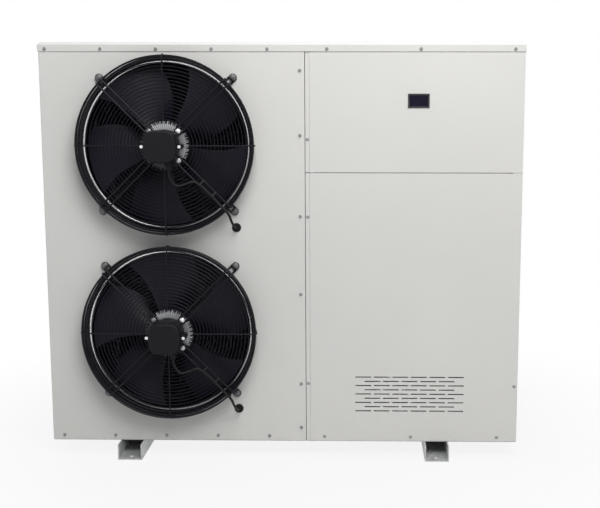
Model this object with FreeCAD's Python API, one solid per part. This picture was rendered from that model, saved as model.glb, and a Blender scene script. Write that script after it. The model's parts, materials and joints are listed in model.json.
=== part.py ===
import FreeCAD, Part
import math
import os

# Twin-fan refrigeration condensing unit in a sheet-metal cabinet on two foot rails.
# Millimetres. +X is the viewer's right, the front faces -Y and +Z is up.
# The origin is the centre of the four anchor holes, on the floor plane.

Vector = FreeCAD.Vector

# Cabinet
cabinet_width = 1250.0
cabinet_depth = 450.0
overall_height = 1100.0
sheet = 1.5
seat_gap = 0.1
overcut = 1.0
lid_clearance = 0.25
lid_lip = 24.0
lid_bevel = 7.0
pan_rim = 32.0
seam_x = 60.0
seam_gap = 1.5
split_z = 766.0
panel_ground_gap = 2.0
panel_top_gap = 10.0
corner_return = 60.0
post_leg = 25.0
side_flange = 25.0
rear_flange = 16.0
flange_foot_gap = 1.0
seam_return = 18.0
bend_radius = 2.5
joggle_width = 10.0
joggle_depth = 1.2
notch_margin_left = 2.0
notch_margin_right = 4.0
valve_hole_clearance = 3.0

# Foot rails
rail_width = 64.0
rail_height = 42.0
rail_wall = 3.0
rail_overhang = 40.0
rail_spacing = 820.0
rail_lip = 16.0
rail_lip_setback = 15.0
anchor_hole_radius = 6.0
anchor_inset = 22.0
rail_bolt_radius = 4.0
rail_bolt_span = 300.0
rail_bolt_nut = 5.0
rail_bolt_corner = 6.8

# Fans
fan_x = -297.0
upper_fan_z = 837.0
lower_fan_z = 347.5
nozzle_radius = 212.0
nozzle_wall = 1.5
nozzle_depth = 68.0
bead_radius = 3.0
nozzle_flare = 4.0
venturi_flange_radius = 220.5
nozzle_hole_clearance = 1.5

# Wire guard
guard_depth = 49.0
ring_wire = 1.25
ring_sides = 8
ring_pitch = 9.0
inner_ring_radius = 66.0
ring_count = 18
rim_radius = 227.0
rim_wire = 2.5
side_ring_radius = 229.5
base_ring_radius = 221.0
side_ring_count = 3
side_ring_pitch = 12.0
weld_sink = 0.3
rod_wire = 2.0
rod_bend = 10.0
arm_wire = 2.5
arm_half_gap = 8.0
lug_square = 345.0
lug_bolt_radius = 3.0
lug_bolt_corner = 6.0
lug_bolt_head = 4.0
lug_bolt_shank = 14.0
lug_washer_radius = 9.0
lug_bend = 5.0

# Fan motor and impeller
motor_bolt_square = 74.0
motor_bolt_radius = 3.5
motor_bolt_head = 4.5
motor_bolt_corner = 6.3
motor_bolt_shank = 14.0
motor_bolt_hole_depth = 12.0
motor_washer_radius = 8.0
shield_radius = 63.0
shield_setback = 5.0
shield_core_radius = 56.0
shield_thickness = 12.0
shield_fins = 36
shield_fin_width = 2.5
ear_radius = 7.0
ear_back_gap = 1.0
stator_radius = 44.0
stator_length = 58.0
bearing_radius = 11.0
bearing_width = 8.0
bearing_bore_reach = 4.0
shaft_radius = 6.0
shaft_front_reach = 2.0
running_clearance = 0.05
rotor_radius = 58.0
rotor_setback = 8.0
rotor_inner_radius = 46.0
rotor_length = 64.0
rotor_back = 5.0
hub_wall = 2.5
blade_count = 5
blade_sections = 5
blade_stations = 7
blade_root_sink = 1.0
blade_root_angle = 58.0
blade_tip_angle = 48.0
blade_sweep = 16.0
blade_root_lead = 6.0
blade_root_rise = 50.0
blade_tip_rise = 36.0
blade_camber = 6.0
blade_tip_radius = 206.5
blade_thickness = 3.0
upper_blade_angle = 183.0
lower_blade_angle = 160.0

# Motor terminal box and cable
box_width = 80.0
box_corner = 24.0
box_depth = 75.0
box_neck_radius = 41.5
box_bolt_clearance = 1.0
box_cover_depth = 23.0
box_cover_round = 5.0
box_ear_reach = 52.5
box_ear_half_height = 7.0
box_ear_round = 6.0
neck_sink = 1.0
box_ear_inset = 5.0
box_lid_ear = 4.0
box_screw_radius = 2.0
gland_x = 15.5
gland_y_forward = 76.0
gland_length = 22.0
gland_radius = 10.0
gland_hex_length = 7.0
gland_nut_radius = 8.5
gland_nut_round = 3.0
cable_radius = 3.25
cable_gap = 0.4
grommet_x = 176.5
grommet_drop = 215.0
grommet_radius = 12.0
grommet_neck = 7.0
grommet_lip = 2.0
grommet_taper = 1.5

# Condenser coil
coil_thickness = 44.0
coil_setback = 13.0
coil_front_gap = 45.0
coil_rows = (0.25, 0.75)
coil_bend_radius = 80.0
tube_sheet = 2.0
tube_sheet_margin = 2.0
coil_tube_radius = 4.75
coil_tube_pitch = 25.0
bend_pitch = 50.0
bend_reach = 6.0
fin_groove_pitch = 12.0
fin_groove_depth = 5.0
fin_groove_width = 4.0

# Louvres and display
louvre_x = 337.0
louvre_low_z = 127.0
louvre_rows = 9
louvre_long_row = 6
louvre_short_row = 5
louvre_row_pitch = 11.65
louvre_length = 42.0
louvre_height = 3.0
louvre_pitch = 49.5
display_x = 353.5
display_z = 951.5
display_width = 55.5
display_height = 36.0
display_frame = 3.0
display_depth = 26.0
display_proud = 2.0
display_ledge = 1.0
lens_thickness = 1.2

# Electrical tray
control_right = 500.0
control_low = 800.0
control_high = 1050.0
control_setback = 110.0
control_depth = 70.0
contactor_places = (150.0, 215.0)
contactor_low = 900.0
contactor_width = 44.0
contactor_height = 75.0
contactor_depth = 45.0
contactor_nose = 13.0
contactor_step = 15.0
strip_left = 120.0
strip_low = 830.0
strip_height = 32.0
strip_depth = 14.0
strip_wall = 2.0
strip_wall_reach = 10.0
terminal_pitch = 15.0
terminal_count = 14
capacitor_places = (400.0, 450.0)
capacitor_radius = 20.0
capacitor_height = 90.0

# Coil headers
header_x = 92.0
header_reach = 12.0
header_end_margin = 20.0
header_stub_share = 0.8
gas_header_radius = 12.0
gas_header_low = 610.0
gas_header_high = 1030.0
gas_stub_z = 705.0
liquid_header_radius = 9.0
liquid_header_low = 90.0
liquid_header_high = 540.0
liquid_stub_z = 120.0

# Compressor compartment
compressor_x = 430.0
compressor_y = 20.0
compressor_radius = 85.0
compressor_height = 400.0
compressor_dome = 26.4
compressor_sink = 2.0
compressor_plate = 4.0
plate_margin = 15.0
collar_inset = 12.0
collar_height = 30.0
collar_sink = 1.0
discharge_stub_rise = 14.0
suction_port_height = 240.0
suction_stub_reach = 20.0
side_stub_sink = 5.0
stub_wall = 2.0
mount_height = 18.0
mount_square = 170.0
mount_radius = 14.0
mount_waist = 11.0
terminal_cover_low = 170.0
terminal_cover_height = 90.0
terminal_cover_half_width = 35.0
terminal_cover_reach = 30.0
terminal_cover_wrap = 14.0
receiver_x = 190.0
receiver_y = -60.0
receiver_radius = 62.0
receiver_height = 340.0
receiver_dome = 21.6
receiver_lift = 16.0
receiver_foot_radius = 40.0
receiver_foot_height = 24.0
receiver_stub_sink = 4.0
receiver_stub_rise = 14.0
receiver_outlet_reach = 12.0
accumulator_x = 560.0
accumulator_y = 150.0
accumulator_radius = 42.0
accumulator_height = 260.0
accumulator_dome = 18.0
accumulator_lift = 50.0
accumulator_foot_radius = 18.0
accumulator_port_offset = 18.0
accumulator_stub_wall = 1.5
accumulator_stub_rise = 20.0
stub_sink = 10.0
drier_x = 300.0
drier_y = -10.0
drier_z = 90.0
drier_radius = 20.0
drier_length = 110.0
drier_taper = 12.0
drier_stub = 10.0
suction_pipe_radius = 11.1
discharge_pipe_radius = 8.0
liquid_pipe_radius = 6.35
condensate_riser_offset = 45.0
condensate_over = 60.0
liquid_bend_offset = 40.0
suction_over = 70.0
suction_crossing_rise = 20.0
suction_riser_y = 135.0
suction_valve_x = 340.0
suction_valve_z = 200.0
liquid_valve_x = 240.0
liquid_valve_z = 140.0
suction_valve_tail = 30.0
liquid_valve_tail = 20.0
valve_body_wall = 6.0
valve_body_depth = 26.0
valve_flange_margin = 10.0
valve_flange_thickness = 4.0
valve_cap_share = 0.9
valve_cap_length = 22.0
valve_overlap = 1.0
valve_stub_length = 34.0
power_entry_x = 160.0
power_entry_z = 160.0
power_entry_bore = 9.0
power_entry_wall = 2.0
power_entry_flange = 5.0
power_entry_length = 16.0
power_entry_taper = 4.0
power_entry_taper_in = 2.0
power_entry_nut = 6.0

# Places worked out from the sizes above
left = -cabinet_width / 2
right = cabinet_width / 2
front = -cabinet_depth / 2
rear = cabinet_depth / 2
top = overall_height
pan_bottom = rail_height
pan_floor = pan_bottom + sheet
rim_top = pan_bottom + pan_rim
lid_under = top - sheet
panel_low = pan_bottom + panel_ground_gap
panel_high = top - panel_top_gap
rail_length = cabinet_depth + 2 * rail_overhang
anchor_y = rail_length / 2 - anchor_inset
fan_seam = seam_x - seam_gap / 2
right_seam = seam_x + seam_gap / 2
partition_x = fan_seam - 2 * sheet
lug_offset = lug_square / 2
lug_radius = lug_offset * math.sqrt(2)
motor_bolt_offset = motor_bolt_square / 2
ring_plane = front - guard_depth
rod_plane = ring_plane - ring_wire - rod_wire + weld_sink
arm_plane = ring_plane - ring_wire - arm_wire + weld_sink
ear_front = arm_plane + arm_wire
shield_front = ear_front + shield_setback
shield_back = shield_front + shield_thickness
stator_back = shield_back + stator_length
rotor_front = shield_back + rotor_setback
rotor_rear = rotor_front + rotor_length
hub_radius = rotor_radius + hub_wall
box_front = shield_front - box_depth
box_split = box_front + box_cover_depth
box_ear_front = box_split - box_lid_ear
motor_bolt_seat = arm_plane - arm_wire - seat_gap
box_back = motor_bolt_seat - sheet - motor_bolt_head - box_bolt_clearance
gland_y = front - gland_y_forward
gland_z = -box_width / 2
coil_out_x = left + coil_setback
coil_in_x = coil_out_x + coil_thickness
coil_out_y = rear - coil_setback
coil_in_y = coil_out_y - coil_thickness
coil_right = partition_x - tube_sheet
coil_front = front + coil_front_gap
coil_top = lid_under - 3 * seat_gap
header_y = coil_in_y + coil_rows[1] * coil_thickness
control_left = partition_x + sheet
control_back = front + control_setback
tray_face = control_back - sheet
compressor_shell_z = pan_floor + mount_height + compressor_plate
suction_port_z = compressor_shell_z + suction_port_height
receiver_top = pan_floor + receiver_lift + receiver_height
accumulator_top = pan_floor + accumulator_lift + accumulator_height
suction_valve_inner = rear - suction_valve_tail
liquid_valve_inner = rear - liquid_valve_tail
fan_heights = {"upper": upper_fan_z, "lower": lower_fan_z}
blade_angles = {"upper": upper_blade_angle, "lower": lower_blade_angle}

X_AXIS = Vector(1, 0, 0)
Y_AXIS = Vector(0, 1, 0)
Z_AXIS = Vector(0, 0, 1)


def block(low, high):
    """A box between two corners."""
    size = [high[i] - low[i] for i in range(3)]
    return Part.makeBox(size[0], size[1], size[2], Vector(*low))


def rod_along(axis, centre, radius, length):
    """A round bar that starts at centre and runs along axis."""
    return Part.makeCylinder(radius, length, Vector(*centre), axis)


def hex_along(axis, centre, across_corners, length):
    """A hexagonal prism that starts at centre and runs along axis."""
    turn = FreeCAD.Rotation(Z_AXIS, axis)
    corners = []
    for step in range(7):
        angle = math.radians(60 * step)
        point = Vector(across_corners * math.cos(angle), across_corners * math.sin(angle), 0)
        corners.append(turn.multVec(point) + Vector(*centre))
    return Part.Face(Part.makePolygon(corners)).extrude(turn.multVec(Z_AXIS) * length)


def fuse(shapes):
    """Joins shapes that meet or overlap into one solid."""
    return shapes[0].multiFuse(shapes[1:]).removeSplitter()


def group(shapes):
    """Keeps separate solids together as one node."""
    return Part.makeCompound(shapes)


def turned(points, centre, axis):
    """A solid of revolution from a closed (radius, along) outline about axis."""
    turn = FreeCAD.Rotation(Z_AXIS, axis)
    outline = Part.makePolygon([Vector(r, 0, s) for r, s in points + points[:1]])
    solid = Part.Face(outline).revolve(Vector(0, 0, 0), Z_AXIS, 360)
    solid.Placement = FreeCAD.Placement(Vector(*centre), turn)
    return solid


def bent_edges(points, radii):
    """Straight runs joined by tangent arcs of the given radii, one for each corner."""
    points = [Vector(*p) for p in points]
    edges = []
    start = points[0]
    for before, corner, after, radius in zip(points, points[1:], points[2:], radii):
        into = (corner - before).normalize()
        out = (after - corner).normalize()
        cut = radius * math.tan(into.getAngle(out) / 2)
        begin = corner - into * cut
        end = corner + out * cut
        inward = (out - into).normalize()
        middle = corner + inward * (math.hypot(radius, cut) - radius)
        edges.append(Part.LineSegment(start, begin).toShape())
        edges.append(Part.Arc(begin, middle, end).toShape())
        start = end
    edges.append(Part.LineSegment(start, points[-1]).toShape())
    return edges


def widest_radii(points, share=0.45):
    """For each corner of a path, the largest bend that its shorter run allows."""
    points = [Vector(*p) for p in points]
    radii = []
    for before, corner, after in zip(points, points[1:], points[2:]):
        shorter = min((corner - before).Length, (after - corner).Length)
        turn = (corner - before).getAngle(after - corner)
        radii.append(share * shorter / math.tan(turn / 2))
    return radii


def swept(path, radius):
    """A round wire or pipe of the given radius along a path of lines and arcs."""
    begin = path.Edges[0]
    start = begin.valueAt(begin.FirstParameter)
    heading = begin.tangentAt(begin.FirstParameter)
    section = Part.Wire(Part.makeCircle(radius, start, heading))
    return path.makePipeShell([section], True, False)


def pipe(points, radius):
    """A pipe with wide bends through the given points."""
    return swept(Part.Wire(bent_edges(points, widest_radii(points))), radius)


def rounded_rectangle(width, height, radius, y, x, z):
    """A rectangle with round corners in the plane at y, centred on x and z."""
    w = width / 2 - radius
    h = height / 2 - radius
    edges = []
    centres = [(w, h, 0), (-w, h, 90), (-w, -h, 180), (w, -h, 270)]
    ends = []
    for cx, cz, angle in centres:
        arc_points = []
        for extra in (0, 45, 90):
            a = math.radians(angle + extra)
            arc_points.append(Vector(x + cx + radius * math.cos(a), y, z + cz + radius * math.sin(a)))
        ends.append(arc_points)
    for index, arc_points in enumerate(ends):
        edges.append(Part.Arc(*arc_points).toShape())
        following = ends[(index + 1) % 4][0]
        edges.append(Part.LineSegment(arc_points[2], following).toShape())
    return Part.Face(Part.Wire(edges))


def wire_ring(radius, wire, y):
    """A ring of wire about the Y axis, eight-sided in section and as thick as the wire across its flats."""
    corner = wire / math.cos(math.pi / ring_sides)
    section = []
    for step in range(ring_sides):
        angle = 2 * math.pi * (step + 0.5) / ring_sides
        section.append(Vector(radius + corner * math.cos(angle), y + corner * math.sin(angle), 0))
    face = Part.Face(Part.makePolygon(section + section[:1]))
    return face.revolve(Vector(0, 0, 0), Y_AXIS, 360)


def edges_where(shape, test):
    """The edges of shape whose middle point passes test."""
    found = []
    for edge in shape.Edges:
        middle = edge.valueAt((edge.FirstParameter + edge.LastParameter) / 2)
        if test(middle):
            found.append(edge)
    return found


def near(value, target):
    return abs(value - target) < 0.01


def save(name, shape):
    shape.exportStep("parts/" + name + ".step")


# Base and rails

def rail_bolt_places():
    """Centres of the bolts that hold the pan to the two rails."""
    places = []
    for side in (-1, 1):
        for edge in (-1, 1):
            for along in (-1, 1):
                x = side * rail_spacing / 2 + edge * (rail_width / 2 - rail_wall - rail_lip / 2)
                places.append((x, along * rail_bolt_span / 2))
    return places


def foot_rail(side):
    """An open-topped channel with lips that carry the pan and an anchor hole near each end."""
    x = side * rail_spacing / 2
    half = rail_width / 2
    end = rail_length / 2
    rail = block((x - half, -end, 0), (x + half, end, rail_height))
    inner = half - rail_wall
    channel = block((x - inner, -end - overcut, rail_wall), (x + inner, end + overcut, rail_height + overcut))
    rail = rail.cut(channel)
    lip_end = cabinet_depth / 2 - rail_lip_setback
    for edge in (-1, 1):
        low = min(edge * inner, edge * (inner - rail_lip))
        high = max(edge * inner, edge * (inner - rail_lip))
        lip_low = rail_height - rail_wall
        lip = block((x + low, -lip_end, lip_low), (x + high, lip_end, rail_height))
        rail = rail.fuse(lip)
    rail = rail.removeSplitter()
    for end_sign in (-1, 1):
        place = (x, end_sign * anchor_y, -overcut)
        hole = rod_along(Z_AXIS, place, anchor_hole_radius, rail_wall + 2 * overcut)
        rail = rail.cut(hole)
    for bolt_x, bolt_y in rail_bolt_places():
        if bolt_x * side > 0:
            clearance = rail_bolt_radius + seat_gap
            hole = rod_along(Z_AXIS, (bolt_x, bolt_y, rail_height / 2), clearance, rail_height)
            rail = rail.cut(hole)
    return rail


def base_pan():
    """The folded tray that everything stands on, open at the seam for the panel flanges."""
    pan = block((left + sheet, front + sheet, pan_bottom), (right - sheet, rear - sheet, rim_top))
    hollow = block((left + 2 * sheet, front + 2 * sheet, pan_floor),
                   (right - 2 * sheet, rear - 2 * sheet, top))
    pan = pan.cut(hollow)
    notch_left = partition_x - notch_margin_left
    notch_right = right_seam + joggle_width + notch_margin_right
    notch = block((notch_left, front, pan_floor), (notch_right, front + 3 * sheet, top))
    pan = pan.cut(notch)
    for bolt_x, bolt_y in rail_bolt_places():
        pan = pan.cut(rod_along(Z_AXIS, (bolt_x, bolt_y, 0), rail_bolt_radius + seat_gap, top))
    return pan


def rail_bolts():
    """Hexagon bolts with nuts, one through each pair of holes in the pan and the rail lips."""
    bolts = []
    nut = rail_bolt_nut
    lip_low = rail_height - rail_wall
    for x, y in rail_bolt_places():
        head = hex_along(Z_AXIS, (x, y, pan_floor), rail_bolt_corner, nut)
        shank = rod_along(Z_AXIS, (x, y, lip_low - nut), rail_bolt_radius, nut + rail_wall + sheet)
        bottom_nut = hex_along(Z_AXIS, (x, y, lip_low - nut), rail_bolt_corner, nut)
        bolts.append(fuse([head, shank, bottom_nut]))
    return group(bolts)


# Cabinet sheet metal

def top_cover():
    """A folded lid with a bevel along its top edges and a lip that hangs over the panels."""
    reach = lid_clearance + sheet
    low = (left - reach, front - reach, top - lid_lip)
    high = (right + reach, rear + reach, top)
    lid = block(low, high)
    lid = lid.makeChamfer(lid_bevel, edges_where(lid, lambda p: near(p.z, top)))
    inner_low = (left - lid_clearance, front - lid_clearance, top - lid_lip - overcut)
    inner_high = (right + lid_clearance, rear + lid_clearance, lid_under)
    hollow = block(inner_low, inner_high)
    inner_bevel = lid_bevel - sheet * (2 - math.sqrt(2))
    hollow = hollow.makeChamfer(inner_bevel, edges_where(hollow, lambda p: near(p.z, lid_under)))
    return lid.cut(hollow)


def lug_places(fan_z):
    """Where the four guard lugs of a fan are bolted to the panel."""
    return [(fan_x + sx * lug_offset, fan_z + sz * lug_offset) for sx in (-1, 1) for sz in (-1, 1)]


def fan_panel():
    """The left front panel with a return down the left side and the two fan openings."""
    face = block((left, front, panel_low), (fan_seam, front + sheet, panel_high))
    side = block((left, front, panel_low), (left + sheet, front + corner_return, panel_high))
    seam = block((fan_seam - sheet, front, panel_low), (fan_seam, front + seam_return, panel_high))
    panel = fuse([face, side, seam])
    corner = edges_where(panel, lambda p: near(p.x, left) and near(p.y, front))
    panel = panel.makeFillet(bend_radius, corner)
    opening = nozzle_radius + nozzle_wall + nozzle_hole_clearance
    through = sheet + 2 * overcut
    for fan_z in fan_heights.values():
        panel = panel.cut(rod_along(Y_AXIS, (fan_x, front - overcut, fan_z), opening, through))
        for x, z in lug_places(fan_z):
            hole = rod_along(Y_AXIS, (x, front - overcut, z), lug_bolt_radius + seat_gap, through)
            panel = panel.cut(hole)
        hole_place = (fan_x + grommet_x, front - overcut, fan_z - grommet_drop)
        panel = panel.cut(rod_along(Y_AXIS, hole_place, grommet_neck + seat_gap, through))
    return panel


def right_panel(low_z, high_z):
    """A right front panel whose left edge is stepped back behind the seam."""
    step = joggle_depth
    start = right_seam
    outer = [(start, front + step), (start + joggle_width, front + step),
             (start + joggle_width + step, front), (right, front)]
    inner = [(right, front + sheet), (start + joggle_width + step + 0.4 * sheet, front + sheet),
             (start + joggle_width + 0.4 * sheet, front + step + sheet),
             (start + sheet, front + step + sheet)]
    flange = [(start + sheet, front + seam_return), (start, front + seam_return)]
    outline = [Vector(x, y, low_z) for x, y in outer + inner + flange]
    outline.append(outline[0])
    return Part.Face(Part.makePolygon(outline)).extrude(Vector(0, 0, high_z - low_z))


def control_panel():
    """The upper right panel with its display cut-out."""
    panel = right_panel(split_z + seam_gap / 2, panel_high)
    half_w = display_width / 2 - display_frame + seat_gap
    half_h = display_height / 2 - display_frame + seat_gap
    low = (display_x - half_w, front - overcut, display_z - half_h)
    high = (display_x + half_w, front + sheet + overcut, display_z + half_h)
    return panel.cut(block(low, high))


def louvre_places():
    """Centres of the louvre slots: long and short rows, one above the other in turn."""
    places = []
    for row in range(louvre_rows):
        slots = louvre_long_row if row % 2 == 0 else louvre_short_row
        for slot in range(slots):
            x = louvre_x + (slot - (slots - 1) / 2) * louvre_pitch
            places.append((x, louvre_low_z + row * louvre_row_pitch))
    return places


def service_panel():
    """The lower right panel with its field of louvre slots."""
    panel = right_panel(panel_low, split_z - seam_gap / 2)
    slots = []
    for x, z in louvre_places():
        low = (x - louvre_length / 2, front - overcut, z - louvre_height / 2)
        high = (x + louvre_length / 2, front + sheet + overcut, z + louvre_height / 2)
        slots.append(block(low, high))
    return panel.cut(Part.makeCompound(slots))


def side_panel_right():
    """The right side, with a flange behind the front panels and one behind the rear panel."""
    face = block((right - sheet, front + sheet, panel_low), (right, rear - sheet, panel_high))
    flange_low = rim_top + flange_foot_gap
    edges = []
    for y in (front + sheet, rear - 2 * sheet):
        edges.append(block((right - side_flange, y, flange_low), (right - sheet, y + sheet, panel_high)))
    return fuse([face] + edges)


def rear_panel():
    """The back of the compressor compartment, with holes for the valves and the power cable."""
    start = partition_x + sheet + seat_gap
    face = block((start, rear - sheet, panel_low), (right, rear, panel_high))
    edge_low = (start, rear - rear_flange, rim_top + flange_foot_gap)
    edge = block(edge_low, (start + sheet, rear - sheet, panel_high))
    panel = fuse([face, edge])
    holes = [(suction_valve_x, suction_valve_z, suction_pipe_radius + valve_hole_clearance),
             (liquid_valve_x, liquid_valve_z, liquid_pipe_radius + valve_hole_clearance),
             (power_entry_x, power_entry_z, power_entry_bore + power_entry_wall + seat_gap)]
    for x, z, radius in holes:
        panel = panel.cut(rod_along(Y_AXIS, (x, rear - sheet - overcut, z), radius, sheet + 2 * overcut))
    return panel


def corner_post():
    """The folded angle at the left rear corner, outside the coil's bend."""
    leg = post_leg
    outline = [(left, rear), (left, rear - leg), (left + sheet, rear - leg), (left + sheet, rear - sheet),
               (left + leg, rear - sheet), (left + leg, rear)]
    points = [Vector(x, y, panel_low) for x, y in outline + outline[:1]]
    post = Part.Face(Part.makePolygon(points)).extrude(Vector(0, 0, panel_high - panel_low))
    corner = edges_where(post, lambda p: near(p.x, left) and near(p.y, rear))
    return post.makeFillet(bend_radius, corner)


def partition():
    """The upright wall between the fan side and the compressor side."""
    low = (partition_x, front + sheet, pan_floor)
    high = (partition_x + sheet, coil_in_y, panel_high)
    return block(low, high)


# Condenser coil

def coil_block():
    """The fin pack: an L in plan with a round bend, grooved between groups of fins."""
    bend = coil_bend_radius
    inner_bend = bend - coil_thickness
    centre = (coil_out_x + bend, coil_out_y - bend)
    start = Vector(coil_out_x, coil_front, pan_floor)

    def arc(radius, reverse):
        angles = (180, 135, 90) if not reverse else (90, 135, 180)
        points = []
        for angle in angles:
            a = math.radians(angle)
            x = centre[0] + radius * math.cos(a)
            y = centre[1] + radius * math.sin(a)
            points.append(Vector(x, y, pan_floor))
        return Part.Arc(*points).toShape()

    outer_arc = arc(bend, False)
    inner_arc = arc(inner_bend, True)
    corners = [Vector(coil_right, coil_out_y, pan_floor), Vector(coil_right, coil_in_y, pan_floor)]
    last = Vector(coil_in_x, coil_front, pan_floor)
    edges = [Part.LineSegment(start, outer_arc.valueAt(outer_arc.FirstParameter)).toShape(), outer_arc]
    edges.append(Part.LineSegment(outer_arc.valueAt(outer_arc.LastParameter), corners[0]).toShape())
    edges.append(Part.LineSegment(corners[0], corners[1]).toShape())
    edges.append(Part.LineSegment(corners[1], inner_arc.valueAt(inner_arc.FirstParameter)).toShape())
    edges.append(inner_arc)
    edges.append(Part.LineSegment(inner_arc.valueAt(inner_arc.LastParameter), last).toShape())
    edges.append(Part.LineSegment(last, start).toShape())
    height = coil_top - pan_floor
    coil = Part.Face(Part.Wire(edges)).extrude(Vector(0, 0, height))
    grooves = []
    x = centre[0] + fin_groove_pitch
    while x < coil_right - fin_groove_pitch:
        low = (x, coil_out_y - fin_groove_depth, pan_floor + overcut)
        grooves.append(block(low, (x + fin_groove_width, coil_out_y + overcut, coil_top - overcut)))
        x += fin_groove_pitch
    y = centre[1] - fin_groove_pitch
    while y > coil_front + fin_groove_pitch:
        low = (coil_out_x - overcut, y - fin_groove_width, pan_floor + overcut)
        grooves.append(block(low, (coil_out_x + fin_groove_depth, y, coil_top - overcut)))
        y -= fin_groove_pitch
    return coil.cut(Part.makeCompound(grooves))


def tube_sheets():
    """The end plates that hold the coil's tubes."""
    margin = tube_sheet_margin
    front_plate = block((coil_out_x - margin, coil_front - tube_sheet, pan_floor),
                        (coil_in_x + margin, coil_front, coil_top))
    right_plate = block((coil_right, coil_in_y - margin, pan_floor),
                        (coil_right + tube_sheet, coil_out_y + margin, coil_top))
    return group([front_plate, right_plate])


def return_bend(place, heading):
    """One hairpin between two tubes that lie one above the other."""
    half = coil_tube_pitch / 2
    base = Vector(*place)
    low = base - Z_AXIS * half
    high = base + Z_AXIS * half
    out = heading * bend_reach
    crown = base + heading * (bend_reach + half)
    edges = [Part.LineSegment(low, low + out).toShape(),
             Part.Arc(low + out, crown, high + out).toShape(),
             Part.LineSegment(high + out, high).toShape()]
    return swept(Part.Wire(edges), coil_tube_radius)


def return_bends():
    """The hairpins at both ends of the coil, in two rows."""
    bends = []
    z = pan_floor + bend_pitch
    while z < coil_top - bend_pitch / 2:
        for row in coil_rows:
            x = coil_out_x + row * coil_thickness
            bends.append(return_bend((x, coil_front - tube_sheet, z), -Y_AXIS))
        y = coil_in_y + coil_rows[0] * coil_thickness
        bends.append(return_bend((coil_right + tube_sheet, y, z), X_AXIS))
        z += bend_pitch
    return group(bends)


# Fans

def venturi(fan_z):
    """The orifice ring: a flange on the panel, a rolled bead and the air nozzle behind it."""
    back = front + nozzle_depth
    lip = front - sheet
    outer = nozzle_radius + nozzle_wall
    mid = nozzle_radius + bead_radius
    bead_start = Vector(mid + bead_radius, lip, 0)
    bead_end = Vector(nozzle_radius, lip, 0)
    bead_top = Vector(mid, lip - bead_radius, 0)
    flare = nozzle_flare
    edges = [Part.Arc(bead_start, bead_top, bead_end).toShape()]
    path = [bead_end, Vector(nozzle_radius, back - flare, 0), Vector(nozzle_radius + flare, back, 0),
            Vector(outer + flare, back, 0), Vector(outer, back - flare, 0), Vector(outer, front, 0),
            Vector(venturi_flange_radius, front, 0), Vector(venturi_flange_radius, lip, 0), bead_start]
    for begin, end in zip(path, path[1:]):
        edges.append(Part.LineSegment(begin, end).toShape())
    ring = Part.Face(Part.Wire(edges)).revolve(Vector(0, 0, 0), Y_AXIS, 360)
    ring.translate(Vector(fan_x, 0, fan_z))
    return ring


def basket_radius(y):
    """The radius of the side rings, which narrow from the rim towards the panel."""
    share = (y - ring_plane) / guard_depth
    return side_ring_radius + share * (base_ring_radius - side_ring_radius)


def guard_arm(angle):
    """A closed hairpin of wire: an eye at the motor bolt, out over the rim, an eye at the lug."""
    r_in = motor_bolt_offset * math.sqrt(2)
    half = arm_half_gap
    eye = half * math.sqrt(0.5)
    outside = ring_wire + arm_wire - weld_sink
    foot = front - arm_wire - seat_gap
    corners = [(r_in, arm_plane, half), (side_ring_radius + outside, arm_plane, half),
               (base_ring_radius + outside, foot, half), (lug_radius, foot, half)]
    inner_eye = Part.Arc(Vector(r_in - half, arm_plane, 0), Vector(r_in - eye, arm_plane, eye),
                         Vector(r_in, arm_plane, half)).toShape()
    outer_eye = Part.Arc(Vector(lug_radius, foot, half), Vector(lug_radius + eye, foot, eye),
                         Vector(lug_radius + half, foot, 0)).toShape()
    edges = [inner_eye] + bent_edges(corners, (rod_bend, lug_bend)) + [outer_eye]
    one_side = swept(Part.Wire(edges), arm_wire)
    other_side = one_side.mirror(Vector(0, 0, 0), Z_AXIS)
    arm = one_side.fuse(other_side)
    arm.rotate(Vector(0, 0, 0), Y_AXIS, angle)
    return arm


def guard_rod(angle):
    """A single radial wire from the inner ring over the rim to the base ring."""
    outside = ring_wire + rod_wire - weld_sink
    points = [(inner_ring_radius - 1.5 * rod_wire, rod_plane, 0), (side_ring_radius + outside, rod_plane, 0),
              (base_ring_radius + outside, front - 3 * seat_gap, 0)]
    rod = swept(Part.Wire(bent_edges(points, (rod_bend,))), rod_wire)
    rod.rotate(Vector(0, 0, 0), Y_AXIS, angle)
    return rod


def fan_guard():
    """The welded wire guard about the fan axis, at the origin."""
    wires = []
    for index in range(ring_count):
        radius = inner_ring_radius + index * ring_pitch
        wires.append(wire_ring(radius, ring_wire, ring_plane))
    wires.append(wire_ring(rim_radius, rim_wire, ring_plane))
    for index in range(side_ring_count):
        y = ring_plane + (index + 1) * side_ring_pitch
        wires.append(wire_ring(basket_radius(y), ring_wire, y))
    wires.append(wire_ring(base_ring_radius + ring_wire, ring_wire, front - ring_wire - seat_gap))
    for quarter in range(4):
        wires.append(guard_rod(90 * quarter))
        wires.append(guard_arm(45 + 90 * quarter))
    return wires[0].multiFuse(wires[1:])


def guard_bolts(fan_z):
    """Bolt and washer at each of the guard's four lugs."""
    bolts = []
    washer_back = front - 2 * arm_wire - 2 * seat_gap
    for x, z in lug_places(fan_z):
        washer = rod_along(-Y_AXIS, (x, washer_back, z), lug_washer_radius, sheet)
        head = hex_along(-Y_AXIS, (x, washer_back - sheet, z), lug_bolt_corner, lug_bolt_head)
        shank = rod_along(Y_AXIS, (x, washer_back, z), lug_bolt_radius, lug_bolt_shank)
        bolts.append(fuse([washer, head, shank]))
    return group(bolts)


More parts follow.
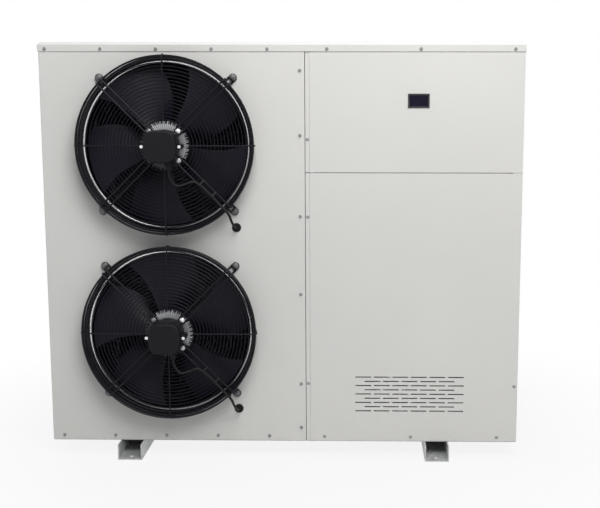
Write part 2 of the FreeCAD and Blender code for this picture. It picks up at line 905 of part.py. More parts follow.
def motor_bolts(fan_z):
    """The four bolts that hang the motor on the guard's inner eyes."""
    bolts = []
    head_back = motor_bolt_seat
    for sx in (-1, 1):
        for sz in (-1, 1):
            x = fan_x + sx * motor_bolt_offset
            z = fan_z + sz * motor_bolt_offset
            washer = rod_along(-Y_AXIS, (x, head_back, z), motor_washer_radius, sheet)
            head = hex_along(-Y_AXIS, (x, head_back - sheet, z), motor_bolt_corner, motor_bolt_head)
            shank = rod_along(Y_AXIS, (x, head_back, z), motor_bolt_radius, motor_bolt_shank)
            bolts.append(fuse([washer, head, shank]))
    return group(bolts)


def motor_stator(fan_z):
    """The motor's finned front shield with its ears, the wound core and the bearing bore."""
    centre = (fan_x, shield_front, fan_z)
    pieces = [rod_along(Y_AXIS, centre, shield_core_radius, shield_thickness)]
    half = shield_fin_width / 2
    fin = block((fan_x + shield_core_radius - half, shield_front, fan_z - half),
                (fan_x + shield_radius, shield_back, fan_z + half))
    for index in range(shield_fins):
        copy = fin.copy()
        copy.rotate(Vector(fan_x, 0, fan_z), Y_AXIS, index * 360 / shield_fins)
        pieces.append(copy)
    pieces.append(rod_along(Y_AXIS, (fan_x, shield_back, fan_z), stator_radius, stator_length))
    for sx in (-1, 1):
        for sz in (-1, 1):
            x = fan_x + sx * motor_bolt_offset
            z = fan_z + sz * motor_bolt_offset
            depth = shield_back - ear_front - ear_back_gap
            pieces.append(rod_along(Y_AXIS, (x, ear_front + seat_gap, z), ear_radius, depth))
    stator = fuse(pieces)
    bore_start = (fan_x, shield_back - bearing_bore_reach, fan_z)
    bore = rod_along(Y_AXIS, bore_start, bearing_radius, stator_length + bearing_bore_reach + overcut)
    stator = stator.cut(bore)
    for sx in (-1, 1):
        for sz in (-1, 1):
            x = fan_x + sx * motor_bolt_offset
            z = fan_z + sz * motor_bolt_offset
            clearance = motor_bolt_radius + seat_gap / 2
            stator = stator.cut(rod_along(Y_AXIS, (x, ear_front, z), clearance, motor_bolt_hole_depth))
    return stator


def motor_bearings(fan_z):
    """The two rolling bearings between the stator's bore and the shaft."""
    bearings = []
    for y in (shield_back, stator_back - bearing_width):
        ring = rod_along(Y_AXIS, (fan_x, y, fan_z), bearing_radius, bearing_width)
        clearance = shaft_radius + running_clearance
        hole = rod_along(Y_AXIS, (fan_x, y - overcut, fan_z), clearance, bearing_width + 2 * overcut)
        bearings.append(ring.cut(hole))
    return group(bearings)


def motor_rotor(fan_z):
    """The external rotor: a cup on the shaft that runs in the bearings."""
    length = rotor_length
    shaft_end = shield_back - rotor_front - shaft_front_reach
    points = [(0, shaft_end), (shaft_radius, shaft_end),
              (shaft_radius, length - rotor_back), (rotor_inner_radius, length - rotor_back),
              (rotor_inner_radius, 0), (rotor_radius, 0), (rotor_radius, length), (0, length)]
    return turned(points, (fan_x, rotor_front, fan_z), Y_AXIS)


def blade_surface():
    """One swept blade as a curved sheet, rising from the hub to the tip about the Y axis."""
    root_radius = hub_radius - blade_root_sink
    rows = []
    for i in range(blade_sections):
        share = i / (blade_sections - 1)
        radius = root_radius + share * (blade_tip_radius - root_radius)
        chord = blade_root_angle + share * (blade_tip_angle - blade_root_angle)
        sweep = blade_sweep * share ** 2 - blade_root_lead * share
        rise = blade_root_rise + share * (blade_tip_rise - blade_root_rise)
        row = []
        for j in range(blade_stations):
            along = j / (blade_stations - 1)
            angle = math.radians(sweep + chord * (along - 0.5))
            camber = blade_camber * math.sin(math.pi * along)
            y = -rise * (along - 0.5) - camber
            row.append(Vector(radius * math.cos(angle), y, radius * math.sin(angle)))
        rows.append(row)
    surface = Part.BSplineSurface()
    surface.interpolate(rows)
    return surface


def impeller(fan_z, first_angle):
    """The hub sleeve pressed on the rotor, with its five swept blades."""
    middle = (rotor_front + rotor_rear) / 2
    sleeve = rod_along(Y_AXIS, (0, rotor_front, 0), hub_radius, rotor_length)
    bore = rod_along(Y_AXIS, (0, rotor_front - overcut, 0), rotor_radius, rotor_length + 2 * overcut)
    sleeve = sleeve.cut(bore)
    face = blade_surface().toShape()
    blade = face.extrude(Vector(0, blade_thickness, 0))
    blade.translate(Vector(0, middle - blade_thickness / 2, 0))
    pieces = [sleeve]
    for index in range(blade_count):
        copy = blade.copy()
        copy.rotate(Vector(0, 0, 0), Y_AXIS, -(first_angle + index * 360 / blade_count))
        pieces.append(copy)
    wheel = pieces[0].multiFuse(pieces[1:])
    wheel.translate(Vector(fan_x, 0, fan_z))
    return wheel


def box_screw_places(fan_z):
    """The two cover screws of a terminal box, one in each ear."""
    offset = box_ear_reach - box_ear_inset
    return [(fan_x - offset, fan_z), (fan_x + offset, fan_z)]


def box_body(fan_z, y_front, y_back):
    """A slice of the terminal box: a square with round corners."""
    return rounded_rectangle(box_width, box_width, box_corner, y_front, fan_x, fan_z).extrude(
        Vector(0, y_back - y_front, 0))


def box_ears(fan_z, y_front, y_back):
    """The bar across the box that gives it an ear on each side."""
    half = box_ear_half_height
    reach = box_ear_reach
    ears = block((fan_x - reach, y_front, fan_z - half), (fan_x + reach, y_back, fan_z + half))
    upright = edges_where(ears, lambda p: near(abs(p.x - fan_x), reach) and near(abs(p.z - fan_z), half))
    return ears.makeFillet(box_ear_round, upright)


def with_screw_holes(part, fan_z):
    for x, z in box_screw_places(fan_z):
        hole = rod_along(Y_AXIS, (x, box_front, z), box_screw_radius + seat_gap / 2, box_depth)
        part = part.cut(hole)
    return part


def terminal_box(fan_z):
    """The box itself, on a round neck that keeps it clear of the guard's eyes and bolts."""
    body = box_body(fan_z, box_split, box_back)
    ears = box_ears(fan_z, box_split, box_back)
    neck_start = box_back - neck_sink
    neck = rod_along(Y_AXIS, (fan_x, neck_start, fan_z), box_neck_radius, shield_front - neck_start)
    return with_screw_holes(fuse([body, ears, neck]), fan_z)


def terminal_box_cover(fan_z):
    """The cover: a rounded cap with thin ears at its back, where the two screws pull it on."""
    cap = box_body(fan_z, box_front, box_split)
    cap = cap.makeFillet(box_cover_round, edges_where(cap, lambda p: near(p.y, box_front)))
    ears = box_ears(fan_z, box_ear_front, box_split)
    return with_screw_holes(fuse([cap, ears]), fan_z)


def box_screws():
    """Two cover screws for each terminal box."""
    screws = []
    for fan_z in fan_heights.values():
        for x, z in box_screw_places(fan_z):
            head = rod_along(-Y_AXIS, (x, box_ear_front, z), 2 * box_screw_radius, box_screw_radius)
            shank = rod_along(Y_AXIS, (x, box_ear_front, z), box_screw_radius, 4 * box_lid_ear)
            screws.append(fuse([head, shank]))
    return group(screws)


def cable_gland(fan_z):
    """The gland under the terminal box that grips the motor cable."""
    x = fan_x + gland_x
    z = fan_z + gland_z
    base = hex_along(-Z_AXIS, (x, gland_y, z), gland_radius, gland_hex_length)
    nut_place = (x, gland_y, z - gland_hex_length)
    nut = rod_along(-Z_AXIS, nut_place, gland_nut_radius, gland_length - gland_hex_length)
    body = fuse([base, nut])
    rim = edges_where(body, lambda p: near(p.z, z - gland_length))
    body = body.makeFillet(gland_nut_round, rim)
    bore = rod_along(-Z_AXIS, (x, gland_y, z + overcut), cable_radius + seat_gap, gland_length + 2 * overcut)
    return body.cut(bore)


def cable_route(fan_z):
    """The cable's points: down out of the gland, along the lower right arm, into the panel."""
    start_z = gland_z - seat_gap
    along = arm_plane - arm_wire - cable_radius - cable_gap
    route = [
        (gland_x, gland_y, start_z),
        (gland_x, gland_y, -76.0),
        (31.0, along - 11.0, -103.0),
        (54.0, along - 6.5, -97.0),
        (76.0, along - 1.5, -88.0),
        (104.0, along, -109.0),
        (138.0, along, -146.0),
        (164.0, along - 1.5, -172.0),
        (170.0, along + 16.0, -199.0),
        (grommet_x, front - 19.0, -grommet_drop),
        (grommet_x, front + 20.0, -grommet_drop),
    ]
    return [(fan_x + x, y, fan_z + z) for x, y, z in route]


def fan_cable(fan_z):
    return pipe(cable_route(fan_z), cable_radius)


def cable_grommet(fan_z):
    """The rubber grommet where the motor cable goes through the panel."""
    lip = grommet_lip
    groove = sheet + 2 * seat_gap
    bore = cable_radius + seat_gap
    taper = -seat_gap - grommet_taper
    outline = [(bore, taper - lip), (grommet_neck, taper - lip), (grommet_radius, taper),
               (grommet_radius, -seat_gap), (grommet_neck, -seat_gap),
               (grommet_neck, groove - seat_gap), (grommet_radius, groove - seat_gap),
               (grommet_radius, groove - seat_gap + lip), (bore, groove - seat_gap + lip)]
    return turned(outline, (fan_x + grommet_x, front, fan_z - grommet_drop), Y_AXIS)


# Display and controls

def display_bezel():
    """The display's frame in the panel's cut-out, with its housing behind."""
    half_w = display_width / 2
    half_h = display_height / 2
    proud = display_proud
    plate = block((display_x - half_w, front - proud, display_z - half_h),
                  (display_x + half_w, front, display_z + half_h))
    inner_w = half_w - display_frame
    inner_h = half_h - display_frame
    body = block((display_x - inner_w, front - proud, display_z - inner_h),
                 (display_x + inner_w, front + display_depth, display_z + inner_h))
    bezel = fuse([plate, body])
    window_w = inner_w - display_ledge
    window_h = inner_h - display_ledge
    window = block((display_x - window_w, front - proud - overcut, display_z - window_h),
                   (display_x + window_w, front - proud + lens_thickness, display_z + window_h))
    return bezel.cut(window)


def display_lens():
    """The dark window set in the display's frame."""
    half_w = display_width / 2 - display_frame - display_ledge - seat_gap
    half_h = display_height / 2 - display_frame - display_ledge - seat_gap
    y = front - display_proud
    return block((display_x - half_w, y, display_z - half_h),
                 (display_x + half_w, y + lens_thickness, display_z + half_h))


def control_box():
    """The open tray behind the control panel that carries the electrical gear."""
    low = (control_left, control_back - control_depth, control_low)
    high = (control_right, control_back, control_high)
    tray = block(low, high)
    hollow = block((control_left + sheet, control_back - control_depth - overcut, control_low + sheet),
                   (control_right - sheet, control_back - sheet, control_high - sheet))
    return tray.cut(hollow)


def contactors():
    """Two contactors on the back of the tray."""
    pieces = []
    half = contactor_width / 2
    body_front = tray_face - contactor_depth
    high = contactor_low + contactor_height
    for x in contactor_places:
        body = block((x - half, body_front, contactor_low), (x + half, tray_face, high))
        nose_half = half - contactor_step / 2
        nose = block((x - nose_half, body_front - contactor_nose, contactor_low + contactor_step),
                     (x + nose_half, body_front, high - contactor_step))
        pieces.append(fuse([body, nose]))
    return group(pieces)


def terminal_strip():
    """The row of terminals for the supply and the fans, with a wall before each one."""
    strip_front = tray_face - strip_depth
    length = terminal_count * terminal_pitch
    high = strip_low + strip_height
    base = block((strip_left, strip_front, strip_low), (strip_left + length, tray_face, high))
    walls = []
    for index in range(terminal_count):
        x = strip_left + index * terminal_pitch
        wall_front = strip_front - strip_wall_reach
        walls.append(block((x, wall_front, strip_low), (x + strip_wall, strip_front, high)))
    return fuse([base] + walls)


def capacitors():
    """The two fan capacitors, upright in the tray."""
    cans = []
    for x in capacitor_places:
        place = (x, tray_face - capacitor_radius, control_low + sheet)
        cans.append(rod_along(Z_AXIS, place, capacitor_radius, capacitor_height))
    return group(cans)


# Compressor compartment

def dome(radius, height, cap, centre):
    """An upright pressure shell whose domed ends are each cap high."""
    steps = 5
    points = [(0, 0)]
    for step in range(1, steps + 1):
        a = math.radians(90 * step / steps)
        points.append((radius * math.sin(a), cap * (1 - math.cos(a))))
    for step in range(steps + 1):
        a = math.radians(90 * step / steps)
        points.append((radius * math.cos(a), height - cap * (1 - math.sin(a))))
    return turned(points, centre, Z_AXIS)


def compressor():
    """A hermetic scroll compressor on its square base plate, with its pipe stubs."""
    plate_z = pan_floor + mount_height
    shell_z = compressor_shell_z
    reach = mount_square / 2 + plate_margin
    x = compressor_x
    y = compressor_y
    plate = block((x - reach, y - reach, plate_z), (x + reach, y + reach, shell_z))
    shell = dome(compressor_radius, compressor_height, compressor_dome, (x, y, shell_z - compressor_sink))
    collar = rod_along(Z_AXIS, (x, y, shell_z - collar_sink), compressor_radius - collar_inset, collar_height)
    top_start = (x, y, shell_z + compressor_height - stub_sink)
    top_length = stub_sink + discharge_stub_rise
    top_stub = rod_along(Z_AXIS, top_start, discharge_pipe_radius + stub_wall, top_length)
    side_start = (x + compressor_radius - side_stub_sink, y, suction_port_z)
    side_length = side_stub_sink + suction_stub_reach
    side_stub = rod_along(X_AXIS, side_start, suction_pipe_radius + stub_wall, side_length)
    return fuse([plate, shell, collar, top_stub, side_stub])


def compressor_mounts():
    """Rubber mounts with their sleeves, under the corners of the compressor's plate."""
    mounts = []
    for sx in (-1, 1):
        for sy in (-1, 1):
            x = compressor_x + sx * mount_square / 2
            y = compressor_y + sy * mount_square / 2
            points = [(0, 0), (mount_radius, 0), (mount_waist, mount_height / 2),
                      (mount_radius, mount_height), (0, mount_height)]
            mounts.append(turned(points, (x, y, pan_floor), Z_AXIS))
    return group(mounts)


def compressor_terminal_cover():
    """The cover over the compressor's terminals, on the front of its shell."""
    z = compressor_shell_z + terminal_cover_low
    half = terminal_cover_half_width
    y_back = compressor_y - math.sqrt(compressor_radius ** 2 - half ** 2)
    cover = block((compressor_x - half, y_back - terminal_cover_reach, z),
                  (compressor_x + half, y_back + terminal_cover_wrap, z + terminal_cover_height))
    shell_start = (compressor_x, compressor_y, z - overcut)
    shell_length = terminal_cover_height + 2 * overcut
    return cover.cut(rod_along(Z_AXIS, shell_start, compressor_radius + seat_gap, shell_length))


def liquid_receiver():
    """The upright liquid receiver on its foot ring."""
    x = receiver_x
    y = receiver_y
    foot = rod_along(Z_AXIS, (x, y, pan_floor), receiver_foot_radius, receiver_foot_height)
    shell = dome(receiver_radius, receiver_height, receiver_dome, (x, y, pan_floor + receiver_lift))
    stub_radius = liquid_pipe_radius + stub_wall
    inlet_start = (x, y, receiver_top - receiver_stub_sink)
    inlet = rod_along(Z_AXIS, inlet_start, stub_radius, receiver_stub_sink + receiver_stub_rise)
    outlet_start = (x + receiver_radius - receiver_stub_sink, y, drier_z)
    outlet = rod_along(X_AXIS, outlet_start, stub_radius, receiver_stub_sink + receiver_outlet_reach)
    return fuse([foot, shell, inlet, outlet])


def suction_accumulator():
    """The suction accumulator, upright on its foot."""
    x = accumulator_x
    y = accumulator_y
    foot_height = accumulator_lift + stub_sink
    foot = rod_along(Z_AXIS, (x, y, pan_floor), accumulator_foot_radius, foot_height)
    place = (x, y, pan_floor + accumulator_lift)
    shell = dome(accumulator_radius, accumulator_height, accumulator_dome, place)
    stub_low = accumulator_top - stub_sink
    stub_radius = suction_pipe_radius + accumulator_stub_wall
    stub_length = stub_sink + accumulator_stub_rise
    inlet = rod_along(Z_AXIS, (x - accumulator_port_offset, y, stub_low), stub_radius, stub_length)
    outlet = rod_along(Z_AXIS, (x + accumulator_port_offset, y, stub_low), stub_radius, stub_length)
    return fuse([foot, shell, inlet.cut(outlet), outlet])


def filter_drier():
    """The filter drier in the liquid line, with a stub at each end."""
    r = drier_radius
    s = liquid_pipe_radius + stub_wall
    end = drier_length + drier_stub
    points = [(0, -drier_stub), (s, -drier_stub), (s, 0), (r, drier_taper), (r, drier_length - drier_taper),
              (s, drier_length), (s, end), (0, end)]
    return turned(points, (drier_x, drier_y, drier_z), Y_AXIS)


def coil_header(low_z, high_z, radius, stub_z):
    """An upright manifold joined to the coil by short tubes, with one stub for its pipe."""
    pieces = [rod_along(Z_AXIS, (header_x, header_y, low_z), radius, high_z - low_z)]
    z = low_z + header_end_margin
    while z < high_z:
        start = coil_right + tube_sheet
        pieces.append(rod_along(X_AXIS, (start, header_y, z), coil_tube_radius, header_x - start))
        z += 2 * bend_pitch
    stub_radius = header_stub_share * radius
    pieces.append(rod_along(X_AXIS, (header_x, header_y, stub_z), stub_radius, radius + header_reach))
    return fuse(pieces)


def gas_header():
    """The manifold that spreads the hot gas over the coil's upper part."""
    return coil_header(gas_header_low, gas_header_high, gas_header_radius, gas_stub_z)


def liquid_header():
    """The manifold that gathers the liquid from the coil's lower part."""
    return coil_header(liquid_header_low, liquid_header_high, liquid_header_radius, liquid_stub_z)


def discharge_pipe():
    """From the compressor's top up and across to the coil's gas header."""
    start = compressor_shell_z + compressor_height + discharge_stub_rise
    end_x = header_x + gas_header_radius + header_reach
    points = [(compressor_x, compressor_y, start), (compressor_x, compressor_y, gas_stub_z),
              (compressor_x, header_y, gas_stub_z), (end_x, header_y, gas_stub_z)]
    return pipe(points, discharge_pipe_radius)


def condensate_pipe():
    """From the coil's liquid header up and over into the receiver."""
    start = header_x + liquid_header_radius + header_reach
    riser_x = start + condensate_riser_offset
    end = receiver_top + receiver_stub_rise
    over = end + condensate_over
    points = [(start, header_y, liquid_stub_z), (riser_x, header_y, liquid_stub_z), (riser_x, header_y, over),
              (receiver_x, receiver_y, over), (receiver_x, receiver_y, end)]
    return pipe(points, liquid_pipe_radius)


def liquid_pipes():
    """The liquid line from the receiver to the drier, and from the drier to its valve."""
    start = receiver_x + receiver_radius + receiver_outlet_reach
    before = drier_y - drier_stub
    after = drier_y + drier_length + drier_stub
    turn_y = after + liquid_bend_offset
    first = [(start, receiver_y, drier_z), (drier_x, receiver_y, drier_z), (drier_x, before, drier_z)]
    second = [(drier_x, after, drier_z), (drier_x, turn_y, drier_z), (liquid_valve_x, turn_y, liquid_valve_z),
              (liquid_valve_x, liquid_valve_inner, liquid_valve_z)]
    return group([pipe(first, liquid_pipe_radius), pipe(second, liquid_pipe_radius)])


def suction_pipes():
    """The suction line from its valve to the accumulator, and on to the compressor."""
    stub_top = accumulator_top + accumulator_stub_rise
    over = stub_top + suction_over
    crossing = over + suction_crossing_rise
    inlet_x = accumulator_x - accumulator_port_offset
    outlet_x = accumulator_x + accumulator_port_offset
    port_x = compressor_x + compressor_radius + suction_stub_reach
    first = [(suction_valve_x, suction_valve_inner, suction_valve_z),
             (suction_valve_x, suction_riser_y, suction_valve_z), (suction_valve_x, suction_riser_y, over),
             (inlet_x, accumulator_y, over), (inlet_x, accumulator_y, stub_top)]
    second = [(outlet_x, accumulator_y, stub_top), (outlet_x, accumulator_y, crossing),
              (outlet_x, compressor_y, crossing), (outlet_x, compressor_y, suction_port_z),
              (port_x, compressor_y, suction_port_z)]
    return group([pipe(first, suction_pipe_radius), pipe(second, suction_pipe_radius)])


def service_valve(x, z, radius, inner_end):
    """A service valve through the rear panel: a stub to braze a line to, a body and its stem cap."""
    half = radius + valve_body_wall
    body_front = rear + valve_flange_thickness
    body_back = body_front + valve_body_depth
    overlap = valve_overlap
    flange_radius = radius + valve_flange_margin
    flange = rod_along(Y_AXIS, (x, rear + seat_gap, z), flange_radius, valve_flange_thickness)
    body = block((x - half, body_front, z - half), (x + half, body_back, z + half))
    stub = rod_along(Y_AXIS, (x, body_back - overlap, z), radius, valve_stub_length)
    tail = rod_along(-Y_AXIS, (x, rear + overlap, z), radius, rear + overlap - inner_end)
    cap_place = (x, (body_front + body_back) / 2, z + half - overlap)
    cap = hex_along(Z_AXIS, cap_place, valve_cap_share * half, valve_cap_length)
    return fuse([flange, body, stub, tail, cap])


def suction_valve():
    return service_valve(suction_valve_x, suction_valve_z, suction_pipe_radius, suction_valve_inner)


def liquid_valve():
    return service_valve(liquid_valve_x, liquid_valve_z, liquid_pipe_radius, liquid_valve_inner)


def power_entry():
    """The empty gland for the supply cable, screwed into the rear panel."""
    bore = power_entry_bore
    outer = bore + power_entry_flange
    neck = bore + power_entry_wall
    end = power_entry_length
    inside = -sheet - seat_gap
    nut_end = -sheet - power_entry_nut
    outline = [(bore, end), (outer - power_entry_taper_in, end), (outer, end - power_entry_taper),
               (outer, seat_gap), (neck, seat_gap), (neck, inside), (outer, inside), (outer, nut_end),
               (bore, nut_end)]
    return turned(outline, (power_entry_x, rear, power_entry_z), Y_AXIS)


def main():
    os.makedirs("parts", exist_ok=True)
    save("foot_rail_left", foot_rail(-1))
    save("foot_rail_right", foot_rail(1))
    save("base_pan", base_pan())
    save("rail_bolts", rail_bolts())
    save("top_cover", top_cover())
    save("fan_panel", fan_panel())
    save("control_panel", control_panel())
    save("service_panel", service_panel())
    save("side_panel_right", side_panel_right())
    save("rear_panel", rear_panel())
    save("corner_post", corner_post())
    save("partition", partition())
    save("condenser_fins", coil_block())
    save("tube_sheets", tube_sheets())
    save("return_bends", return_bends())
    save("display_bezel", display_bezel())
    save("display_lens", display_lens())
    save("control_box", control_box())
    save("contactors", contactors())
    save("terminal_strip", terminal_strip())
    save("capacitors", capacitors())
    save("compressor", compressor())
    save("compressor_mounts", compressor_mounts())
    save("compressor_terminal_cover", compressor_terminal_cover())
    save("liquid_receiver", liquid_receiver())
    save("suction_accumulator", suction_accumulator())
    save("filter_drier", filter_drier())
    save("gas_header", gas_header())
    save("liquid_header", liquid_header())
    save("discharge_pipe", discharge_pipe())
    save("condensate_pipe", condensate_pipe())
    save("liquid_pipes", liquid_pipes())
    save("suction_pipes", suction_pipes())
    save("suction_valve", suction_valve())
    save("liquid_valve", liquid_valve())
    save("power_entry", power_entry())
    save("terminal_box_screws", box_screws())
    guard = fan_guard()
    for name, fan_z in fan_heights.items():
        placed_guard = guard.copy()
        placed_guard.translate(Vector(fan_x, 0, fan_z))
        save(name + "_fan_guard", placed_guard)
        save(name + "_venturi", venturi(fan_z))
        save(name + "_motor_stator", motor_stator(fan_z))
        save(name + "_motor_rotor", motor_rotor(fan_z))
        save(name + "_impeller", impeller(fan_z, blade_angles[name]))
        save(name + "_terminal_box", terminal_box(fan_z))
        save(name + "_terminal_box_cover", terminal_box_cover(fan_z))
        save(name + "_fan_cable", fan_cable(fan_z))
    heights = fan_heights.values()
    save("guard_bolts", group([guard_bolts(z) for z in heights]))
    save("motor_bolts", group([motor_bolts(z) for z in heights]))
    save("motor_bearings", group([motor_bearings(z) for z in heights]))
    save("cable_glands", group([cable_gland(z) for z in heights]))
    save("cable_grommets", group([cable_grommet(z) for z in heights]))


main()
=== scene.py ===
"""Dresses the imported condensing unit: finishes, coil, collars, motor ribs, fasteners, lights and camera."""
import json
import math

import bpy
from mathutils import Matrix, Vector


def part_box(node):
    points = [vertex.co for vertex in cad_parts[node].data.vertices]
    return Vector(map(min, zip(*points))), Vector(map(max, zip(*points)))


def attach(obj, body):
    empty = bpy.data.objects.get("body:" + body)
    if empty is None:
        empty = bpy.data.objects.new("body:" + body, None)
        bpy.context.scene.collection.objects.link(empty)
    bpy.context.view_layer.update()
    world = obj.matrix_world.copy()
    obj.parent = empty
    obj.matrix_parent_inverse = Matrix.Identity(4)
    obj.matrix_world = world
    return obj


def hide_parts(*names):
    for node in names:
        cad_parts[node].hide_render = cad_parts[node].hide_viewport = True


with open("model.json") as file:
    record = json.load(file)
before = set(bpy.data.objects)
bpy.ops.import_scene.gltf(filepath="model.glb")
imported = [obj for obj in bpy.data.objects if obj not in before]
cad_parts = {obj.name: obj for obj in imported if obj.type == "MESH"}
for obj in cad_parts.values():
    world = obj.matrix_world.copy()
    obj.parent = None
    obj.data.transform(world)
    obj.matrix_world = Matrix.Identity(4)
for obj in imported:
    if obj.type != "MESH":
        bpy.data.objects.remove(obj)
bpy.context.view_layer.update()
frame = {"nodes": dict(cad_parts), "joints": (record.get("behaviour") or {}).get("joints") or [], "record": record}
nodes = frame["nodes"]

# Fan axes from the joints, the upper fan first
FANS = [Vector(joint["pos_m"]) for joint in frame["joints"]]

# Coil, in metres
FIN_PITCH = 0.0023
FIN_THICKNESS = 0.0003
FIN_INSET = 0.0005
FIN_WAVE = 0.0012
FIN_WAVES = 6
COIL_DEPTH = 0.044
COIL_BEND_RADIUS = 0.080
COIL_TUBE_RADIUS = 0.00475
COIL_TUBE_PITCH = 0.025

# Fan collars and trims, in metres
FLANGE_SHEET = 0.0015
COLLAR_SEAT = 0.0001
COLLAR_FOOT_RADIUS = 0.2182
COLLAR_FLARE = 0.0046
COLLAR_DEPTH = 0.0410
COLLAR_WALL = 0.0014
TRIM_DEPTH = 0.0125
TRIM_WIRE_RADIUS = 0.0046

# Motor ribs, in metres and radians; the setback runs from the ears to just in front of the shield
SHIELD_SETBACK = 0.0049
RIB_COUNT = 64
RIB_INNER_RADIUS = 0.0440
RIB_OUTER_RADIUS = 0.0625
RIB_WIDTH = 0.0013
RIB_HEIGHT = 0.0024
RIB_TIP_SHARE = 0.45
EAR_GAP_ANGLE = 0.19

# Sheet screws, in metres; an outline is in shares of the radius and the height
SCREW_WASHER_RADIUS = 0.0045
SCREW_HEX_RADIUS = 0.0032
SCREW_HEIGHT = 0.0036
LOW_SCREW_HEIGHT = 0.0016
SCREW_WASHER_OUTLINE = [(0, 0), (1, 0), (1, 0.18), (0.93, 0.28), (0, 0.30)]
SCREW_HEAD_OUTLINE = [(0, 0.29), (1, 0.29), (1, 0.86), (0.86, 1), (0.4, 1), (0.34, 0.93), (0, 0.93)]

# Where the screws sit, in metres
LID_SCREWS_X = (-0.608, -0.465, -0.322, -0.179, -0.036, 0.117, 0.358, 0.599)
LID_SCREW_RISE = 0.0062
FAN_PANEL_SEAM_X = 0.047
FAN_PANEL_SEAM_SCREWS_Z = (1.028, 0.862, 0.651, 0.444, 0.201, 0.080)
FAN_PANEL_FOOT_SCREWS_X = (-0.594, -0.456, -0.317, -0.178, -0.039)
FAN_PANEL_FOOT_Z = 0.056
FAN_PANEL_SIDE_SCREWS_Z = (0.09, 0.42, 0.75, 1.04)
FAN_PANEL_SIDE_INSET = 0.048
RIGHT_PANEL_SEAM_X = 0.0662
RIGHT_PANEL_JOGGLE = 0.0012
RIGHT_PANEL_SEAM_SCREWS_Z = (0.852, 0.650, 0.202)
RIGHT_PANEL_FOOT_SCREWS_X = (0.109, 0.341, 0.572)
RIGHT_PANEL_FOOT_Z = 0.055
RIGHT_PANEL_EDGE_SCREW = (0.616, 0.196)
UPRIGHT_SCREWS_Z = (0.09, 0.34, 0.59, 0.84, 1.05)
UPRIGHT_SCREW_INSET = 0.012
REAR_SEAM_SCREW_INSET = 0.008
SIDE_FOOT_SCREWS_Y = (-0.15, 0.0, 0.15)
REAR_FOOT_SCREWS_X = (0.16, 0.34, 0.52)
SIDE_AND_REAR_FOOT_Z = 0.058

# Bolts at the guards' lugs and the motors' eyes, in metres; a plain radius is that of the source's bolt
LUG_PLAIN_RADIUS = 0.009
LUG_WASHER_RADIUS = 0.009
LUG_WASHER_THICKNESS = 0.0028
LUG_HEAD_RADIUS = 0.0056
LUG_BOLT_HEIGHT = 0.0055
LUG_SHANK_RADIUS = 0.003
LUG_SHANK_LENGTH = 0.012
EYE_PLAIN_RADIUS = 0.008
EYE_WASHER_RADIUS = 0.0066
EYE_WASHER_THICKNESS = 0.0018
EYE_HEAD_RADIUS = 0.0048
EYE_BOLT_HEIGHT = 0.006
EYE_SHANK_RADIUS = 0.0035
EYE_SHANK_LENGTH = 0.0135
BOLT_WASHER_OUTLINE = [(0, 0), (1, 0), (1, 0.35), (0.93, 0.65), (0.78, 0.88), (0.6, 1), (0, 1)]
BOLT_HEAD_FOOT = 0.95
BOLT_DOME_OUTLINE = [(1, 0.55), (0.9, 0.8), (0.68, 0.95), (0.4, 1), (0, 1)]

# Cable ties, in metres; a place is the cable's x and z from the fan's axis and how far forward it lies
TIE_WIDTH = 0.0036
TIE_THICKNESS = 0.0010
TIE_SLACK = 0.0001
TIE_PLACES = ((0.121, -0.1275, 0.0), (0.090, -0.0985, 0.00075))
ARM_WIRE_RADIUS = 0.0025
ARM_HALF_GAP = 0.008
CABLE_RADIUS = 0.00325
CABLE_GAP = 0.0004
BUCKLE_SIZE = (0.0045, 0.0040, 0.0052)
BUCKLE_SHIFT = 0.0065
BUCKLE_SETBACK = 0.0005

# Studio: the floor's reach and fade in metres, and the colours of the floor and the surround
FLOOR_REACH = 30.0
FLOOR_GREY = (0.60, 0.60, 0.60, 1)
FLOOR_ROUGHNESS = 0.8
FADE_START = 0.35
FADE_END = 1.5
FADE_LEAST = 0.86
SURROUND_COLOUR = (0.93, 0.95, 1.0, 1)
SURROUND_STRENGTH = 0.16
WHITE = (1, 1, 1, 1)

# Camera, in metres and radians, with its lens and sensor in millimetres
CAMERA_PLACE = (0.2088, -2.9692, 0.9530)
CAMERA_YAW = 0.0150
CAMERA_PITCH = -0.1474
CAMERA_ROLL = 0.0011
CAMERA_LENS = 63.3
CAMERA_SHIFT = (-0.0773, 0.0046)
CAMERA_CLIP = (0.05, 100.0)
SENSOR_WIDTH = 36.0

# Directions
FRONT = (0, -1, 0)
REAR = (0, 1, 0)
LEFT = (-1, 0, 0)
RIGHT = (1, 0, 0)


# Node helpers

def new_material(name):
    """An empty node material with one Principled shader."""
    material = bpy.data.materials.new(name)
    material.use_nodes = True
    tree = material.node_tree
    shader = tree.nodes["Principled BSDF"]
    return material, tree, shader


def add_node(tree, kind, **settings):
    node = tree.nodes.new(kind)
    for key, value in settings.items():
        setattr(node, key, value)
    return node


def object_place(tree):
    """Coordinates in metres in the object's own frame."""
    return add_node(tree, "ShaderNodeTexCoord").outputs["Object"]


def split_place(tree, place):
    """The outputs X, Y and Z of a place."""
    node = add_node(tree, "ShaderNodeSeparateXYZ")
    tree.links.new(place, node.inputs["Vector"])
    return node.outputs


def noise(tree, place, scale, detail=3.0, roughness=0.5):
    node = add_node(tree, "ShaderNodeTexNoise")
    node.inputs["Scale"].default_value = scale
    node.inputs["Detail"].default_value = detail
    node.inputs["Roughness"].default_value = roughness
    tree.links.new(place, node.inputs["Vector"])
    return node.outputs["Fac"]


def math_node(tree, operation, first, second=0.0):
    """One arithmetic step on two values, each a socket or a number."""
    node = add_node(tree, "ShaderNodeMath", operation=operation)
    for socket, value in zip(node.inputs, (first, second)):
        if isinstance(value, (int, float)):
            socket.default_value = value
        else:
            tree.links.new(value, socket)
    return node.outputs["Value"]


